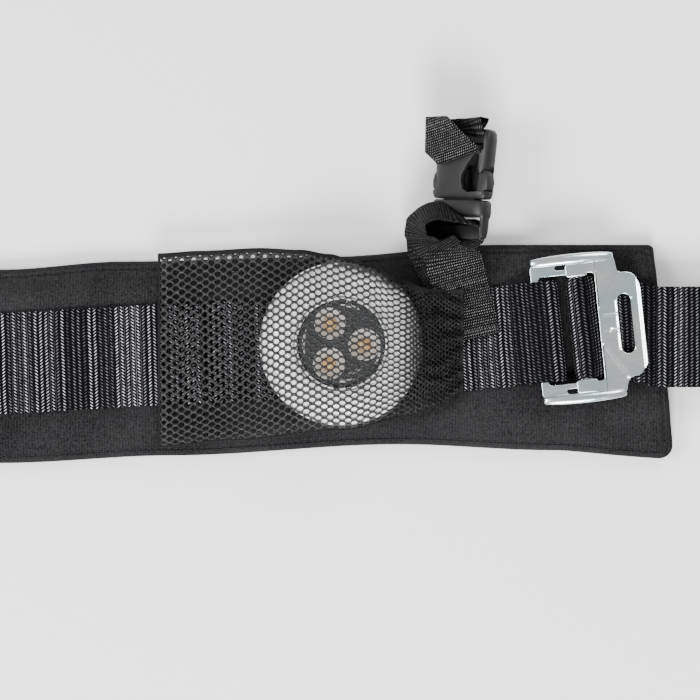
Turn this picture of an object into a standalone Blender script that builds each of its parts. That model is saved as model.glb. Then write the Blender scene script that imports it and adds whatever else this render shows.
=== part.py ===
"""A padded waist belt with a steel tilt-lock adjuster, a puck lamp in a mesh pocket and a clip strap.

The belt is buckled and laid flat, face up. X runs along the belt, Y across the pad and Z is up.
The origin is under the middle of the whole object, on the surface that it lies on. Units are metres.
"""

import math

import bmesh
import bpy
from mathutils import Matrix, Vector

MM = 0.001
GAP = 0.35 * MM

# The waist webbing.
WEB_W = 45 * MM
WEB_T = 1.9 * MM
BELT_END = 265 * MM
FOLD_TOP = 11.0 * MM

# The pad.
PAD_LEFT, PAD_RIGHT = -214.4 * MM, 185.6 * MM
PAD_LEAN, PAD_SPAN = 9.5 * MM, 96 * MM
PAD_RISE = WEB_T + 0.4 * MM
BACK_T, FOAM_T, FRONT_T = 0.9 * MM, 6.4 * MM, 1.1 * MM
BINDING_W = 4.0 * MM
PAD_TOP = PAD_RISE + BACK_T + FOAM_T + FRONT_T + 0.6 * MM

# The heights of the middle of a webbing ply on the pad, and of one on another ply.
PLY_ONE = PAD_TOP + GAP + WEB_T / 2
PLY_TWO = PLY_ONE + WEB_T + GAP

# The adjuster's frame: its origin is the middle of the fixed bar.
ADJ_AT = Vector((139.3, -18.16, 17.4)) * MM
ADJ_YAW = math.radians(6)
ADJ_BAR_R = 2.3 * MM
ADJ_SLIDER_R = 3.0 * MM
ADJ_SLIDER_U = 13.5 * MM
ADJ_PLATE_LOW, ADJ_PLATE_T = 0.0 * MM, 1.7 * MM
ADJ_HALF = 33.0 * MM
ADJ_INNER = 24.0 * MM
ADJ_RAIL_W, ADJ_RAIL_H = 3.6 * MM, 4.6 * MM
ADJ_LEFT, ADJ_RIGHT = -7.0 * MM, 31.0 * MM
ADJ_CROSS = 21.2 * MM
TAB_OUT, TAB_HALF = 40.9 * MM, 22.8 * MM
SLOT_U0, SLOT_U1, SLOT_HALF = 30.0 * MM, 35.9 * MM, 13.2 * MM

# The puck lamp.
LAMP_AT = Vector((46.2, -23.8, 0)) * MM
LAMP_BOTTOM = PLY_ONE + WEB_T / 2 + 0.45 * MM
LED_CIRCLE = 10.1 * MM
LED_ANGLES = [math.radians(a) for a in (119, 238, 358)]
CELL_R, CELL_L, CELL_PITCH = 5.25 * MM, 44.5 * MM, 11.0 * MM

# The clip and its strap.
STRAP_W, STRAP_T = 25 * MM, 1.5 * MM
FLAP_HINGE = Vector((98.4, 3.2, 0)) * MM
STRAP_WAY = Vector((-0.24, 0.9708, 0))
STRAP_SIDE = Vector((0.9708, 0.24, 0))
CLIP_AT = Vector((100.2, 46.4, 16.4)) * MM
FLAP_HUMP = 6.0 * MM
CLIP_YAW, CLIP_ROLL = math.radians(-4), math.radians(-42)
CLIP_HALF_W, CLIP_HALF_T = 15.6 * MM, 4.4 * MM
BAR_EDGE_A = -17.8 * MM
TOP_BAR_EDGE_A = 19.4 * MM
TAIL_END_Y = 77.33 * MM


# ---------------------------------------------------------------- helpers


def clear_scene():
    for o in list(bpy.data.objects):
        bpy.data.objects.remove(o, do_unlink=True)


def material(name, colour, roughness, metallic=0.0):
    m = bpy.data.materials.new(name)
    m.use_nodes = True
    bsdf = m.node_tree.nodes["Principled BSDF"]
    bsdf.inputs["Base Color"].default_value = (*colour, 1)
    bsdf.inputs["Roughness"].default_value = roughness
    bsdf.inputs["Metallic"].default_value = metallic
    return m


def empty(name, place, rotation=None, parent=None):
    o = bpy.data.objects.new(name, None)
    o.matrix_world = Matrix.Translation(place) @ (rotation or Matrix())
    bpy.context.collection.objects.link(o)
    o.parent = parent
    return o


def add(name, bm, mat, parent=None, smooth=40):
    """A new object from a bmesh in its parent's frame, with its faces pointing out."""
    bmesh.ops.recalc_face_normals(bm, faces=bm.faces)
    mesh = bpy.data.meshes.new(name)
    bm.to_mesh(mesh)
    bm.free()
    mesh.materials.append(mat)
    if smooth:
        mesh.shade_smooth()
        mesh.set_sharp_from_angle(angle=math.radians(smooth))
    o = bpy.data.objects.new(name, mesh)
    bpy.context.collection.objects.link(o)
    o.parent = parent
    return o


def cutter(name, bm, parent=None):
    """A shape that is only used by Booleans."""
    bmesh.ops.recalc_face_normals(bm, faces=bm.faces)
    mesh = bpy.data.meshes.new(name)
    bm.to_mesh(mesh)
    bm.free()
    o = bpy.data.objects.new(name, mesh)
    bpy.context.collection.objects.link(o)
    o.parent = parent
    o.hide_render = True
    o.display_type = "WIRE"
    return o


def boolean(o, other, operation="DIFFERENCE"):
    m = o.modifiers.new(other.name, "BOOLEAN")
    m.object = other
    m.operation = operation
    m.solver = "EXACT"


def box(low, high):
    bm = bmesh.new()
    low, high = Vector(low), Vector(high)
    size = Matrix.Diagonal((*(high - low), 1))
    bmesh.ops.create_cube(bm, size=1, matrix=Matrix.Translation((low + high) / 2) @ size)
    return bm


def prism(outline, low, high):
    """A closed outline of (x, y) points, extruded from low to high along Z."""
    bm = bmesh.new()
    base = bm.faces.new([bm.verts.new((x, y, low)) for x, y in outline])
    top = bmesh.ops.extrude_face_region(bm, geom=[base])["geom"]
    verts = [v for v in top if isinstance(v, bmesh.types.BMVert)]
    bmesh.ops.translate(bm, verts=verts, vec=(0, 0, high - low))
    return bm


def rounded(x0, y0, x1, y1, r, n=4):
    """The outline of a rectangle with round corners."""
    points = []
    corners = [(x1 - r, y1 - r, 0), (x0 + r, y1 - r, 90), (x0 + r, y0 + r, 180), (x1 - r, y0 + r, 270)]
    for cx, cy, start in corners:
        for i in range(n + 1):
            a = math.radians(start + 90 * i / n)
            points.append((cx + r * math.cos(a), cy + r * math.sin(a)))
    return points


def lathe(profile, steps, closed=False):
    """A solid turned about Z from (r, z) points. An open profile starts and ends on the axis."""
    bm = bmesh.new()
    rings = []
    for r, z in profile:
        if r < 1e-9:
            rings.append([bm.verts.new((0, 0, z))])
            continue
        turns = [2 * math.pi * i / steps for i in range(steps)]
        rings.append([bm.verts.new((r * math.cos(a), r * math.sin(a), z)) for a in turns])
    pairs = list(zip(rings, rings[1:]))
    if closed:
        pairs.append((rings[-1], rings[0]))
    for a, b in pairs:
        tip, ring = (a, b) if len(a) == 1 else (b, a)
        if len(tip) == 1 and abs(tip[0].co.z - ring[0].co.z) < 1e-9:
            bm.faces.new(ring)
            bm.verts.remove(tip[0])
            continue
        for i in range(steps):
            j = (i + 1) % steps
            corners = [a[i % len(a)], a[j % len(a)], b[j % len(b)], b[i % len(b)]]
            bm.faces.new(list(dict.fromkeys(corners)))
    return bm


def rod(radius, start, end, steps=16):
    """A round rod between two points."""
    start, end = Vector(start), Vector(end)
    along = end - start
    bm = lathe([(0, 0), (radius, 0), (radius, along.length), (0, along.length)], steps)
    turn = Vector((0, 0, 1)).rotation_difference(along).to_matrix().to_4x4()
    bmesh.ops.transform(bm, matrix=Matrix.Translation(start) @ turn, verts=bm.verts)
    return bm


def loft(sections, loop=False):
    """A solid through equal closed sections, with its ends capped or joined."""
    bm = bmesh.new()
    rings = [[bm.verts.new(p) for p in s] for s in sections]
    n = len(rings[0])
    pairs = list(zip(rings, rings[1:]))
    if loop:
        pairs.append((rings[-1], rings[0]))
    else:
        bm.faces.new(rings[0])
        bm.faces.new(rings[-1])
    for a, b in pairs:
        for i in range(n):
            j = (i + 1) % n
            bm.faces.new([a[i], a[j], b[j], b[i]])
    return bm


def smooth_line(points, step):
    """Points about step apart on a centripetal Catmull-Rom curve through the given points."""
    points = [Vector(p) for p in points]
    padded = [2 * points[0] - points[1], *points, 2 * points[-1] - points[-2]]
    line = []
    for a, b, c, d in zip(padded, padded[1:], padded[2:], padded[3:]):
        k1 = (b - a).length ** 0.5
        k2 = k1 + (c - b).length ** 0.5
        k3 = k2 + (d - c).length ** 0.5
        n = max(1, round((c - b).length / step))
        for i in range(n):
            t = k1 + (k2 - k1) * i / n
            ab, bc, cd = a.lerp(b, t / k1), b.lerp(c, (t - k1) / (k2 - k1)), c.lerp(d, (t - k2) / (k3 - k2))
            abc, bcd = ab.lerp(bc, t / k2), bc.lerp(cd, (t - k1) / (k3 - k1))
            line.append(abc.lerp(bcd, (t - k1) / (k2 - k1)))
    return [*line, points[-1]]


def arc(cx, cz, r, start, end, n):
    """(x, z) points on an arc from start to end degrees."""
    turns = [math.radians(start + (end - start) * i / n) for i in range(n + 1)]
    return [(cx + r * math.cos(a), cz + r * math.sin(a)) for a in turns]


def in_metres(points):
    return [(a * MM, b * MM) for a, b in points]


def between(x, points):
    """The value at x of a line through (x, value) points."""
    for (x0, v0), (x1, v1) in zip(points, points[1:]):
        if x <= x1:
            break
    t = max(0.0, min(1.0, (x - x0) / (x1 - x0)))
    return v0 + (v1 - v0) * t


def eased(x, points):
    """The value at x of a smooth curve through (x, value) points."""
    for (x0, v0), (x1, v1) in zip(points, points[1:]):
        if x <= x1:
            break
    t = max(0.0, min(1.0, (x - x0) / (x1 - x0)))
    return v0 + (v1 - v0) * t * t * (3 - 2 * t)


# ---------------------------------------------------------------- the belt's lines


TURNS = [(-265, 1.7), (60, 1.9), (112, 3.5), (130, 6), (162, 6), (184, 0), (300, 0)]
TOP_RUN = [(-265, -36.9), (-105.6, -32.7), (-37.6, -28.7), (60, -25), (112, -21.4), (128, -19.35)]


def top_y(x):
    """The middle of the waist webbing's top run."""
    if x <= 128 * MM:
        return between(x, in_metres(TOP_RUN))
    at_bar = ADJ_AT.y + math.tan(ADJ_YAW) * (min(x, 164 * MM) - ADJ_AT.x)
    return between(x, [(164 * MM, at_bar), (186 * MM, -20.7 * MM), (300 * MM, -20.7 * MM)])


def return_y(x):
    """The middle of the run that returns along the floor."""
    return between(x, [(-BELT_END, -36.9 * MM), (BELT_END, -20.7 * MM)])


def heading(x):
    """The way the webbing points there, as a unit vector in the floor's plane."""
    turn = math.radians(between(x, [(a * MM, b) for a, b in TURNS]))
    return Vector((math.cos(turn), math.sin(turn), 0))


def ribbon(path, width, thickness, y_of):
    """A flat strap along (x, z) points, whose middle is at y_of(x)."""
    sections = []
    for i, (x, z) in enumerate(path):
        before, after = path[max(i - 1, 0)], path[min(i + 1, len(path) - 1)]
        dx, dz = after[0] - before[0], after[1] - before[1]
        size = math.hypot(dx, dz)
        way = heading(x)
        side = Vector((-way.y, way.x, 0)) * width / 2
        up = (way * (-dz / size) + Vector((0, 0, dx / size))) * thickness / 2
        at = Vector((x, y_of(x), z))
        sections.append([at - side - up, at + side - up, at + side + up, at - side + up])
    return loft(sections)


def xz_line(points, step=14):
    """A smooth line through (x, z) points in millimetres."""
    line = smooth_line([(x, 0, z) for x, z in points], step)
    return [(p.x * MM, p.z * MM) for p in line]


# ---------------------------------------------------------------- the pad


PAD_TOP_EDGE = [(-214.4, 8.0), (-105.6, 9.5), (-52, 13.1), (40, 15.2), (117, 20.6), (185.6, 20.6)]
PAD_LOW_EDGE = [(-214.4, -78.0), (-105.6, -77.1), (-30, -73.7), (72, -68.7), (140, -71.4), (185.6, -75.2)]


def pad_under(x, y):
    """The height of the pad's underside, which arches over the webbing beneath it."""
    d = abs(y - return_y(x))
    return eased(d, [(30 * MM, PAD_RISE), (38 * MM, 0.0)])


def leaned(x, y):
    """The pad's right end slants outwards towards its lower edge."""
    return x + eased(x, [(150 * MM, 0.0), (PAD_RIGHT, PAD_LEAN)]) * (PAD_TOP_EDGE[-1][1] * MM - y) / PAD_SPAN


def pad_edges(x, inset):
    """The pad's lower and upper edge at x, drawn in by inset."""
    low = eased(x, in_metres(PAD_LOW_EDGE)) + inset
    return low, eased(x, in_metres(PAD_TOP_EDGE)) - inset


def pad_outline(inset):
    """The pad's outline, drawn in by inset, as (x, y) points with round corners."""
    left, right, r = PAD_LEFT + inset, PAD_RIGHT - inset, max(6 * MM - inset, 2 * MM)
    runs, steps = 26, 10
    xs = [left + r + (right - left - 2 * r) * i / runs for i in range(runs + 1)]
    points = [(x, pad_edges(x, inset)[0]) for x in xs]
    low, high = pad_edges(right, inset)
    side = [low + r + (high - low - 2 * r) * i / steps for i in range(steps + 1)]
    points += corner(right - r, low + r, r, -90) + [(right, y) for y in side]
    points += corner(right - r, high - r, r, 0) + [(x, pad_edges(x, inset)[1]) for x in reversed(xs)]
    low, high = pad_edges(left, inset)
    side = [high - r - (high - low - 2 * r) * i / steps for i in range(steps + 1)]
    points += corner(left + r, high - r, r, 90) + [(left, y) for y in side]
    points += corner(left + r, low + r, r, 180)
    return [(leaned(x, y), y) for x, y in points]


def corner(cx, cy, r, start):
    """The points between the ends of a quarter circle."""
    turns = [math.radians(start + a) for a in (22.5, 45, 67.5)]
    return [(cx + r * math.cos(a), cy + r * math.sin(a)) for a in turns]


def pad_layer(low, high, inset):
    """One layer of the pad, between two heights above its underside."""
    columns, rows = 24, 12
    left, right = PAD_LEFT + inset, PAD_RIGHT - inset

    def place(i, j, h):
        x = left + (right - left) * i / columns
        y0, y1 = pad_edges(x, inset)
        y = y0 + (y1 - y0) * j / rows
        return (leaned(x, y), y, pad_under(x, y) + h)

    sections = []
    for i in range(columns + 1):
        under = [place(i, j, low) for j in range(rows + 1)]
        over = [place(i, j, high) for j in reversed(range(rows + 1))]
        sections.append(under + over)
    bm = bmesh.new()
    rings = [[bm.verts.new(p) for p in s] for s in sections]
    n = len(rings[0])
    for a, b in zip(rings, rings[1:]):
        for k in range(n):
            m = (k + 1) % n
            bm.faces.new([a[k], a[m], b[m], b[k]])
    for ring in (rings[0], rings[-1]):
        for j in range(rows):
            bm.faces.new([ring[j], ring[j + 1], ring[n - 2 - j], ring[n - 1 - j]])
    return bm


def pad_binding():
    """The rolled edge round the pad: a closed ring with a round outer side."""
    height = BACK_T + FOAM_T + FRONT_T
    outer, inner = pad_outline(0), pad_outline(BINDING_W)
    middle = [((a[0] + b[0]) / 2, (a[1] + b[1]) / 2) for a, b in zip(outer, inner)]

    def at(p, h):
        return (p[0], p[1], pad_under(*p) + h * height)

    sections = []
    for o, m, i in zip(outer, middle, inner):
        sections.append([at(i, 0), at(m, 0), at(o, 0.28), at(o, 0.7), at(m, 0.95), at(i, 0.97)])
    return loft(sections, loop=True)


def build_pad(cloth, lining, foam):
    inset = BINDING_W + 2.5 * GAP
    z1 = BACK_T
    z2 = z1 + 0.3 * MM
    z3 = z2 + FOAM_T
    z4 = z3 + 0.3 * MM
    add("pad_back_cover", pad_layer(0, z1, inset), lining)
    add("pad_foam", pad_layer(z2, z3, inset), foam)
    add("pad_front_cover", pad_layer(z4, z4 + FRONT_T, inset), cloth)
    add("pad_edge_binding", pad_binding(), cloth)


# ---------------------------------------------------------------- the waist webbing


def build_webbing(webbing):
    """The belt's own run, and the adjusting end round the sliding bar, from (x, z) points in millimetres."""
    one, two, floor = PLY_ONE / MM, PLY_TWO / MM, WEB_T / 2 / MM
    bar_x, bar_z = ADJ_AT.x / MM, ADJ_AT.z / MM
    run = xz_line(waist_path(one, two, floor, bar_x, bar_z))
    add("waist_webbing", ribbon(run, WEB_W, WEB_T, top_y), webbing)
    bend = (ADJ_SLIDER_R + GAP + WEB_T / 2) / MM
    slider = bar_x + ADJ_SLIDER_U / MM * math.cos(ADJ_YAW)
    path = [(170.4, one), (163, one)] + arc(slider, bar_z, bend, 270, 20, 12)
    path += [(slider + 5.4, 17.1), (slider + 7.2, 15.6), (slider + 9.8, two + 0.1), (172, two), (196, two)]
    path += [(214, two - 0.2), (234, two - 1.1)]
    add("webbing_adjusting_end", ribbon(xz_line(path), WEB_W, WEB_T, top_y), webbing)


def waist_path(one, two, floor, bar_x, bar_z):
    """From the sewn end round the fixed bar, along the pad, under it and back to the adjuster."""
    wrap = (ADJ_BAR_R + GAP + WEB_T / 2) / MM
    fold_r = (FOLD_TOP / MM - 2 * floor) / 2
    fold_x = BELT_END / MM - fold_r - floor
    fold_z = floor + fold_r
    fold_top = FOLD_TOP / MM - floor + 0.2
    left_x = math.sin(math.radians(TURNS[0][1])) * WEB_W / 2 / MM - fold_x
    path = [(123, one), (129, one), (bar_x - 7, one + 0.25)] + arc(bar_x, bar_z, wrap, -90, 90, 10)
    path += [(bar_x - 7, bar_z + wrap - 1.5), (129, two + 2.5), (123.5, two + 0.5), (120, one + 1.0)]
    path += [(116, one + 0.05)] + [(x, one) for x in (108, 76, 40, 0, -60, -120, -180, -218)]
    path += [(-238, 11.4), (left_x + 8, fold_top)] + arc(left_x, fold_z, fold_r, 90, 270, 10)
    path += [(x, floor) for x in (left_x + 10, left_x + 30, -90, 90, fold_x - 30, fold_x - 10)]
    path += arc(fold_x, fold_z, fold_r, -90, 90, 10)
    return path + [(fold_x - 8, fold_top), (238, 11.2), (214, one - 0.2), (196, one), (171, one)]


# ---------------------------------------------------------------- the adjuster


def tab_outline():
    """The cross plate and the lift tab with chamfered corners, as (u, v) points."""
    u0, u1, u2 = ADJ_CROSS, ADJ_RIGHT, TAB_OUT
    v1, v2, cut = ADJ_HALF - 4 * MM, TAB_HALF, 4.2 * MM
    half = [(u0, ADJ_INNER), (u0, v1), (u1, v1), (u1 + 0.4 * MM, v2 + 1.2 * MM)]
    half += [(u1 + 2 * MM, v2), (u2 - cut, v2), (u2 - 0.8 * MM, v2 - cut * 0.6), (u2, v2 - cut * 1.3)]
    return half + [(u, -v) for u, v in reversed(half)]


def rail(side):
    """A raised rolled rail along one side, highest near its middle."""
    sections = []
    count = 14
    for i in range(count + 1):
        t = i / count
        u = ADJ_LEFT + (ADJ_RIGHT - 1.5 * MM - ADJ_LEFT) * t
        crown = max(0.0, math.sin(math.pi * t)) ** 0.5
        high = ADJ_PLATE_T + (ADJ_RAIL_H - ADJ_PLATE_T) * crown
        outer = ADJ_HALF - 1.6 * MM * (1 - crown)
        inner = ADJ_HALF - ADJ_RAIL_W
        ring = [(inner, 0), (outer - 0.6 * MM, 0), (outer, 0.9 * MM), (outer - 0.3 * MM, high * 0.85)]
        ring += [(outer - 1.5 * MM, high), (inner + 0.5 * MM, high * 0.92)]
        sections.append([(u, side * v, ADJ_PLATE_LOW + w) for v, w in ring])
    return loft(sections)


def build_adjuster(steel, slider_steel):
    """One stamped frame, hinged on its fixed bar, and the knurled bar that slides in it."""
    hinge = empty("adjuster_hinge", ADJ_AT, Matrix.Rotation(ADJ_YAW, 4, "Z"))
    low, high = ADJ_PLATE_LOW, ADJ_PLATE_LOW + ADJ_PLATE_T
    outline = rounded(ADJ_LEFT, -ADJ_HALF + 0.8 * MM, ADJ_RIGHT, ADJ_HALF - 0.8 * MM, 5 * MM)
    frame = add("adjuster_frame", prism(outline, low, high), steel, hinge)
    reach = 20 * MM
    window = box((ADJ_LEFT - reach, -ADJ_INNER, -reach), (ADJ_CROSS, ADJ_INNER, reach))
    boolean(frame, cutter("frame_window", window, hinge))
    boolean(frame, cutter("cross_and_tab", prism(tab_outline(), low, high), hinge), "UNION")
    for side in (1, -1):
        boolean(frame, cutter(f"rail_shape_{side + 1}", rail(side), hinge), "UNION")
    bar = rod(ADJ_BAR_R, (0, -ADJ_HALF + 2.5 * MM, 0), (0, ADJ_HALF - 2.5 * MM, 0), 20)
    boolean(frame, cutter("fixed_bar_shape", bar, hinge), "UNION")
    slot = prism(rounded(SLOT_U0, -SLOT_HALF, SLOT_U1, SLOT_HALF, 2.9 * MM), -reach, reach)
    boolean(frame, cutter("tab_slot", slot, hinge))
    for side in (1, -1):
        v0, v1 = side * (ADJ_INNER + 1.9 * MM), side * (ADJ_INNER + 4.1 * MM)
        window = box((8.7 * MM, min(v0, v1), -reach), (15.3 * MM, max(v0, v1), reach))
        boolean(frame, cutter(f"side_slot_{side + 1}", window, hinge))
    build_sliding_bar(slider_steel, hinge)


def build_sliding_bar(steel, hinge):
    """A round bar with a flat block at each end that rests on the frame's side plates."""
    u, end = ADJ_SLIDER_U, ADJ_INNER - 0.4 * MM
    place = empty("adjuster_bar_place", (u, 0, 0), parent=hinge)
    bar = add("adjuster_bar", rod(ADJ_SLIDER_R, (0, -end, 0), (0, end, 0), 20), steel, place)
    low, high = ADJ_PLATE_T + 0.35 * MM, ADJ_PLATE_T + 1.9 * MM
    for side in (1, -1):
        v0, v1 = side * (WEB_W / 2 + 0.4 * MM), side * (ADJ_HALF - ADJ_RAIL_W - 0.6 * MM)
        block = box((-5 * MM, min(v0, v1), low), (4.2 * MM, max(v0, v1), high))
        boolean(bar, cutter(f"bar_block_{side + 1}", block, place), "UNION")


# ---------------------------------------------------------------- the pocket


POCKET_LEFT, POCKET_RIGHT = -35.2 * MM, 100.4 * MM
POCKET_T = 0.7 * MM
POCKET_TOP_EDGE = [(-35.2, 16.6), (10, 18.6), (30, 17.6), (46, 14.4), (60, 10.6), (75, 3.4), (86, -2.0)]
POCKET_TOP_EDGE += [(100.4, -2.0)]
POCKET_LOW_EDGE = [(-35.2, -69.6), (-2, -66.9), (46, -62.0), (75, -56.2), (90, -51.5), (100.4, -46.2)]


def pocket_height(x, y):
    """The mesh's underside: flat on the belt and the strap's base, and a tent over the lamp."""
    d = math.hypot(x - LAMP_AT.x, y - LAMP_AT.y)
    over = [(0, 38.0), (20, 37.7), (27, 36.5), (33, 33.8), (36.4, 30.4), (37.6, 27.5), (50, 18.5), (66, 14.3)]
    tent = between(d, in_metres(over))
    belt = eased(abs(y - top_y(x)), [(24 * MM, 14.1 * MM), (34 * MM, 12.1 * MM)])
    pad = belt - PAD_RISE + pad_under(x, y) if abs(y - top_y(x)) > 24 * MM else belt
    step = 2.2 * MM * eased(x, [(79 * MM, 0.0), (83 * MM, 1.0)]) * eased(y, [(-33 * MM, 0.0), (-28 * MM, 1.0)])
    return max(tent, pad + step, pad_under(x, y) + PAD_TOP - PAD_RISE + 0.5 * MM)


def build_pocket(mesh_cloth, elastic):
    """A thin shell over the lamp, open at its upper edge, and the elastic hem along that edge."""
    columns, rows = 38, 24

    def place(i, j, h):
        x = POCKET_LEFT + (POCKET_RIGHT - POCKET_LEFT) * i / columns
        y0, y1 = eased(x, in_metres(POCKET_LOW_EDGE)), eased(x, in_metres(POCKET_TOP_EDGE))
        y = y0 + (y1 - y0) * j / rows
        return (x, y, pocket_height(x, y) + h)

    bm = bmesh.new()
    under = [[bm.verts.new(place(i, j, 0)) for j in range(rows + 1)] for i in range(columns + 1)]
    over = [[bm.verts.new(place(i, j, POCKET_T)) for j in range(rows + 1)] for i in range(columns + 1)]
    for i in range(columns):
        for j in range(rows):
            bm.faces.new([under[i][j], under[i][j + 1], under[i + 1][j + 1], under[i + 1][j]])
            bm.faces.new([over[i][j], over[i + 1][j], over[i + 1][j + 1], over[i][j + 1]])
    for j in range(rows):
        for i in (0, columns):
            bm.faces.new([under[i][j], under[i][j + 1], over[i][j + 1], over[i][j]])
    for i in range(columns):
        for j in (0, rows):
            bm.faces.new([under[i][j], under[i + 1][j], over[i + 1][j], over[i][j]])
    add("pocket_mesh", bm, mesh_cloth)
    steps = 40
    centres = []
    for k in range(steps + 1):
        x = POCKET_LEFT + (POCKET_RIGHT - POCKET_LEFT) * k / steps
        y = eased(x, in_metres(POCKET_TOP_EDGE)) + 1.5 * MM
        centres.append((x, y, pocket_height(x, y) + 0.9 * MM))
    add("pocket_hem", square_cord(centres, 1.0 * MM), elastic)


def square_cord(centres, half):
    """A cord of square section through points that run along X."""
    sections = []
    for x, y, z in centres:
        corners = ((-1, -1), (1, -1), (1, 1), (-1, 1))
        sections.append([(x, y + a * half, z + b * half) for a, b in corners])
    return loft(sections)


# ---------------------------------------------------------------- the lamp


def turned(name, profile, mat, parent, steps=40, closed=False):
    return add(name, lathe(in_metres(profile), steps, closed), mat, parent)


def build_lamp(mats):
    """The puck lamp. Heights here are in millimetres above the lamp's bottom."""
    lamp = empty("lamp_place", LAMP_AT + Vector((0, 0, LAMP_BOTTOM)))
    build_lamp_base(mats, lamp)
    build_lamp_power(mats, lamp)
    build_lamp_light(mats, lamp)
    build_lamp_cap(mats, lamp)


def build_lamp_base(mats, lamp):
    outline = [(25.2, 0), (31, 0), (34.5, 3.5), (34.5, 10.6)]
    outline += [(32.7, 10.6), (32.7, 4.2), (30.2, 1.8), (25.2, 1.8)]
    base = turned("lamp_base", outline, mats["white"], lamp, 48, closed=True)
    for i, side in enumerate((1, -1)):
        x = side * 28.4 * MM
        post = rod(2.2 * MM, (x, 0, 1.2 * MM), (x, 0, 13.0 * MM), 12)
        boolean(base, cutter(f"post_shape_{i}", post, lamp), "UNION")
        hole = rod(1.0 * MM, (x, 0, 7.0 * MM), (x, 0, 15 * MM), 10)
        boolean(base, cutter(f"post_hole_{i}", hole, lamp))
    dome = [(36.0, 11.0), (35.9, 13.5), (34.6, 16.6), (31.6, 19.5), (27.0, 21.6), (22.6, 22.7), (21.2, 22.8)]
    inside = [(20.8, 22.4), (20.8, 19.4), (23.2, 19.4), (26.5, 19.6)]
    inside += [(30.2, 17.9), (33.0, 15.4), (34.3, 12.8), (34.3, 11.0)]
    turned("lamp_bezel", dome + inside, mats["white"], lamp, 56, closed=True)
    seal = [(31.8 + 0.65 * math.cos(a), 10.1 + 0.65 * math.sin(a)) for a in [math.pi * k / 4 for k in range(8)]]
    turned("lamp_seal", seal, mats["rubber"], lamp, 36, closed=True)
    cover = turned("battery_cover", [(0, 0), (24.6, 0), (24.6, 1.6), (0, 1.6)], mats["white"], lamp, 48)
    coin = box((-8 * MM, -1 * MM, -1 * MM), (8 * MM, 1 * MM, 0.8 * MM))
    boolean(cover, cutter("coin_slot", coin, lamp))


def build_lamp_power(mats, lamp):
    """Three cells side by side between two contact plates."""
    z = 2.3 * MM + CELL_R
    for i in range(3):
        x = (i - 1) * CELL_PITCH
        half = CELL_L / 2
        shoulder = half - 1 * MM
        profile = [(0, -half), (CELL_R, -half), (CELL_R, shoulder), (2 * MM, shoulder)]
        profile += [(2 * MM, half), (0, half)]
        cell = lathe(profile, 14)
        turn = Matrix.Rotation(math.radians(90 if i == 1 else -90), 4, "X")
        bmesh.ops.transform(cell, matrix=Matrix.Translation((x, 0, z)) @ turn, verts=cell.verts)
        add(f"battery_cell_{i + 1}", cell, mats["cell"], lamp)
    for name, side in (("upper", 1), ("lower", -1)):
        y0, y1 = side * (CELL_L / 2 + 0.4 * MM), side * (CELL_L / 2 + 1.0 * MM)
        plate = box((-14 * MM, min(y0, y1), z - 4.2 * MM), (14 * MM, max(y0, y1), z + 4.2 * MM))
        add(f"battery_contact_{name}", plate, mats["metal"], lamp)
    profile = [(0, 13.3), (30.6, 13.3), (30.6, 14.5), (0, 14.5)]
    board = turned("lamp_circuit_board", profile, mats["board"], lamp, 40)
    for i, side in enumerate((1, -1)):
        x = side * 28.4 * MM
        hole = rod(1.1 * MM, (x, 0, 12 * MM), (x, 0, 16 * MM), 10)
        boolean(board, cutter(f"board_hole_{i}", hole, lamp))
        screw = lathe(in_metres([(0, 8), (0.75, 8), (0.75, 14.8), (1.7, 14.8), (1.7, 15.9), (0, 15.9)]), 12)
        bmesh.ops.translate(screw, verts=screw.verts, vec=(x, 0, 0))
        add(f"board_screw_{i + 1}", screw, mats["metal"], lamp)


def build_lamp_light(mats, lamp):
    """The LEDs, the switch and the spring under the cap."""
    for i, a in enumerate(LED_ANGLES):
        led = lathe(in_metres([(0, 14.8), (2.4, 14.8), (2.4, 16.2), (1.8, 17.3), (0, 17.8)]), 14)
        bmesh.ops.translate(led, verts=led.verts, vec=(LED_CIRCLE * math.cos(a), LED_CIRCLE * math.sin(a), 0))
        add(f"led_{i + 1}", led, mats["led"], lamp)
    switch = [(0, 14.8), (3.0, 14.8), (3.0, 17.4), (1.6, 17.4), (1.6, 15.2), (0, 15.2)]
    turned("lamp_switch", switch, mats["black"], lamp, 16)
    turned("lamp_switch_button", [(0, 16.9), (1.2, 16.9), (1.2, 19.0), (0, 19.0)], mats["white"], lamp, 14)
    add("lamp_return_spring", coil(21.6 * MM, 0.4 * MM, 15.3 * MM, 17.5 * MM, 2), mats["metal"], lamp)


def coil(radius, wire, low, high, turns, steps=32, sides=6):
    """A round wire spring with capped ends."""
    sections = []
    for i in range(turns * steps + 1):
        a = 2 * math.pi * i / steps
        z = low + (high - low) * i / (turns * steps)
        ring = []
        for k in range(sides):
            b = 2 * math.pi * k / sides
            r = radius + wire * math.cos(b)
            ring.append((r * math.cos(a), r * math.sin(a), z + wire * math.sin(b)))
        sections.append(ring)
    return loft(sections)


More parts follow.
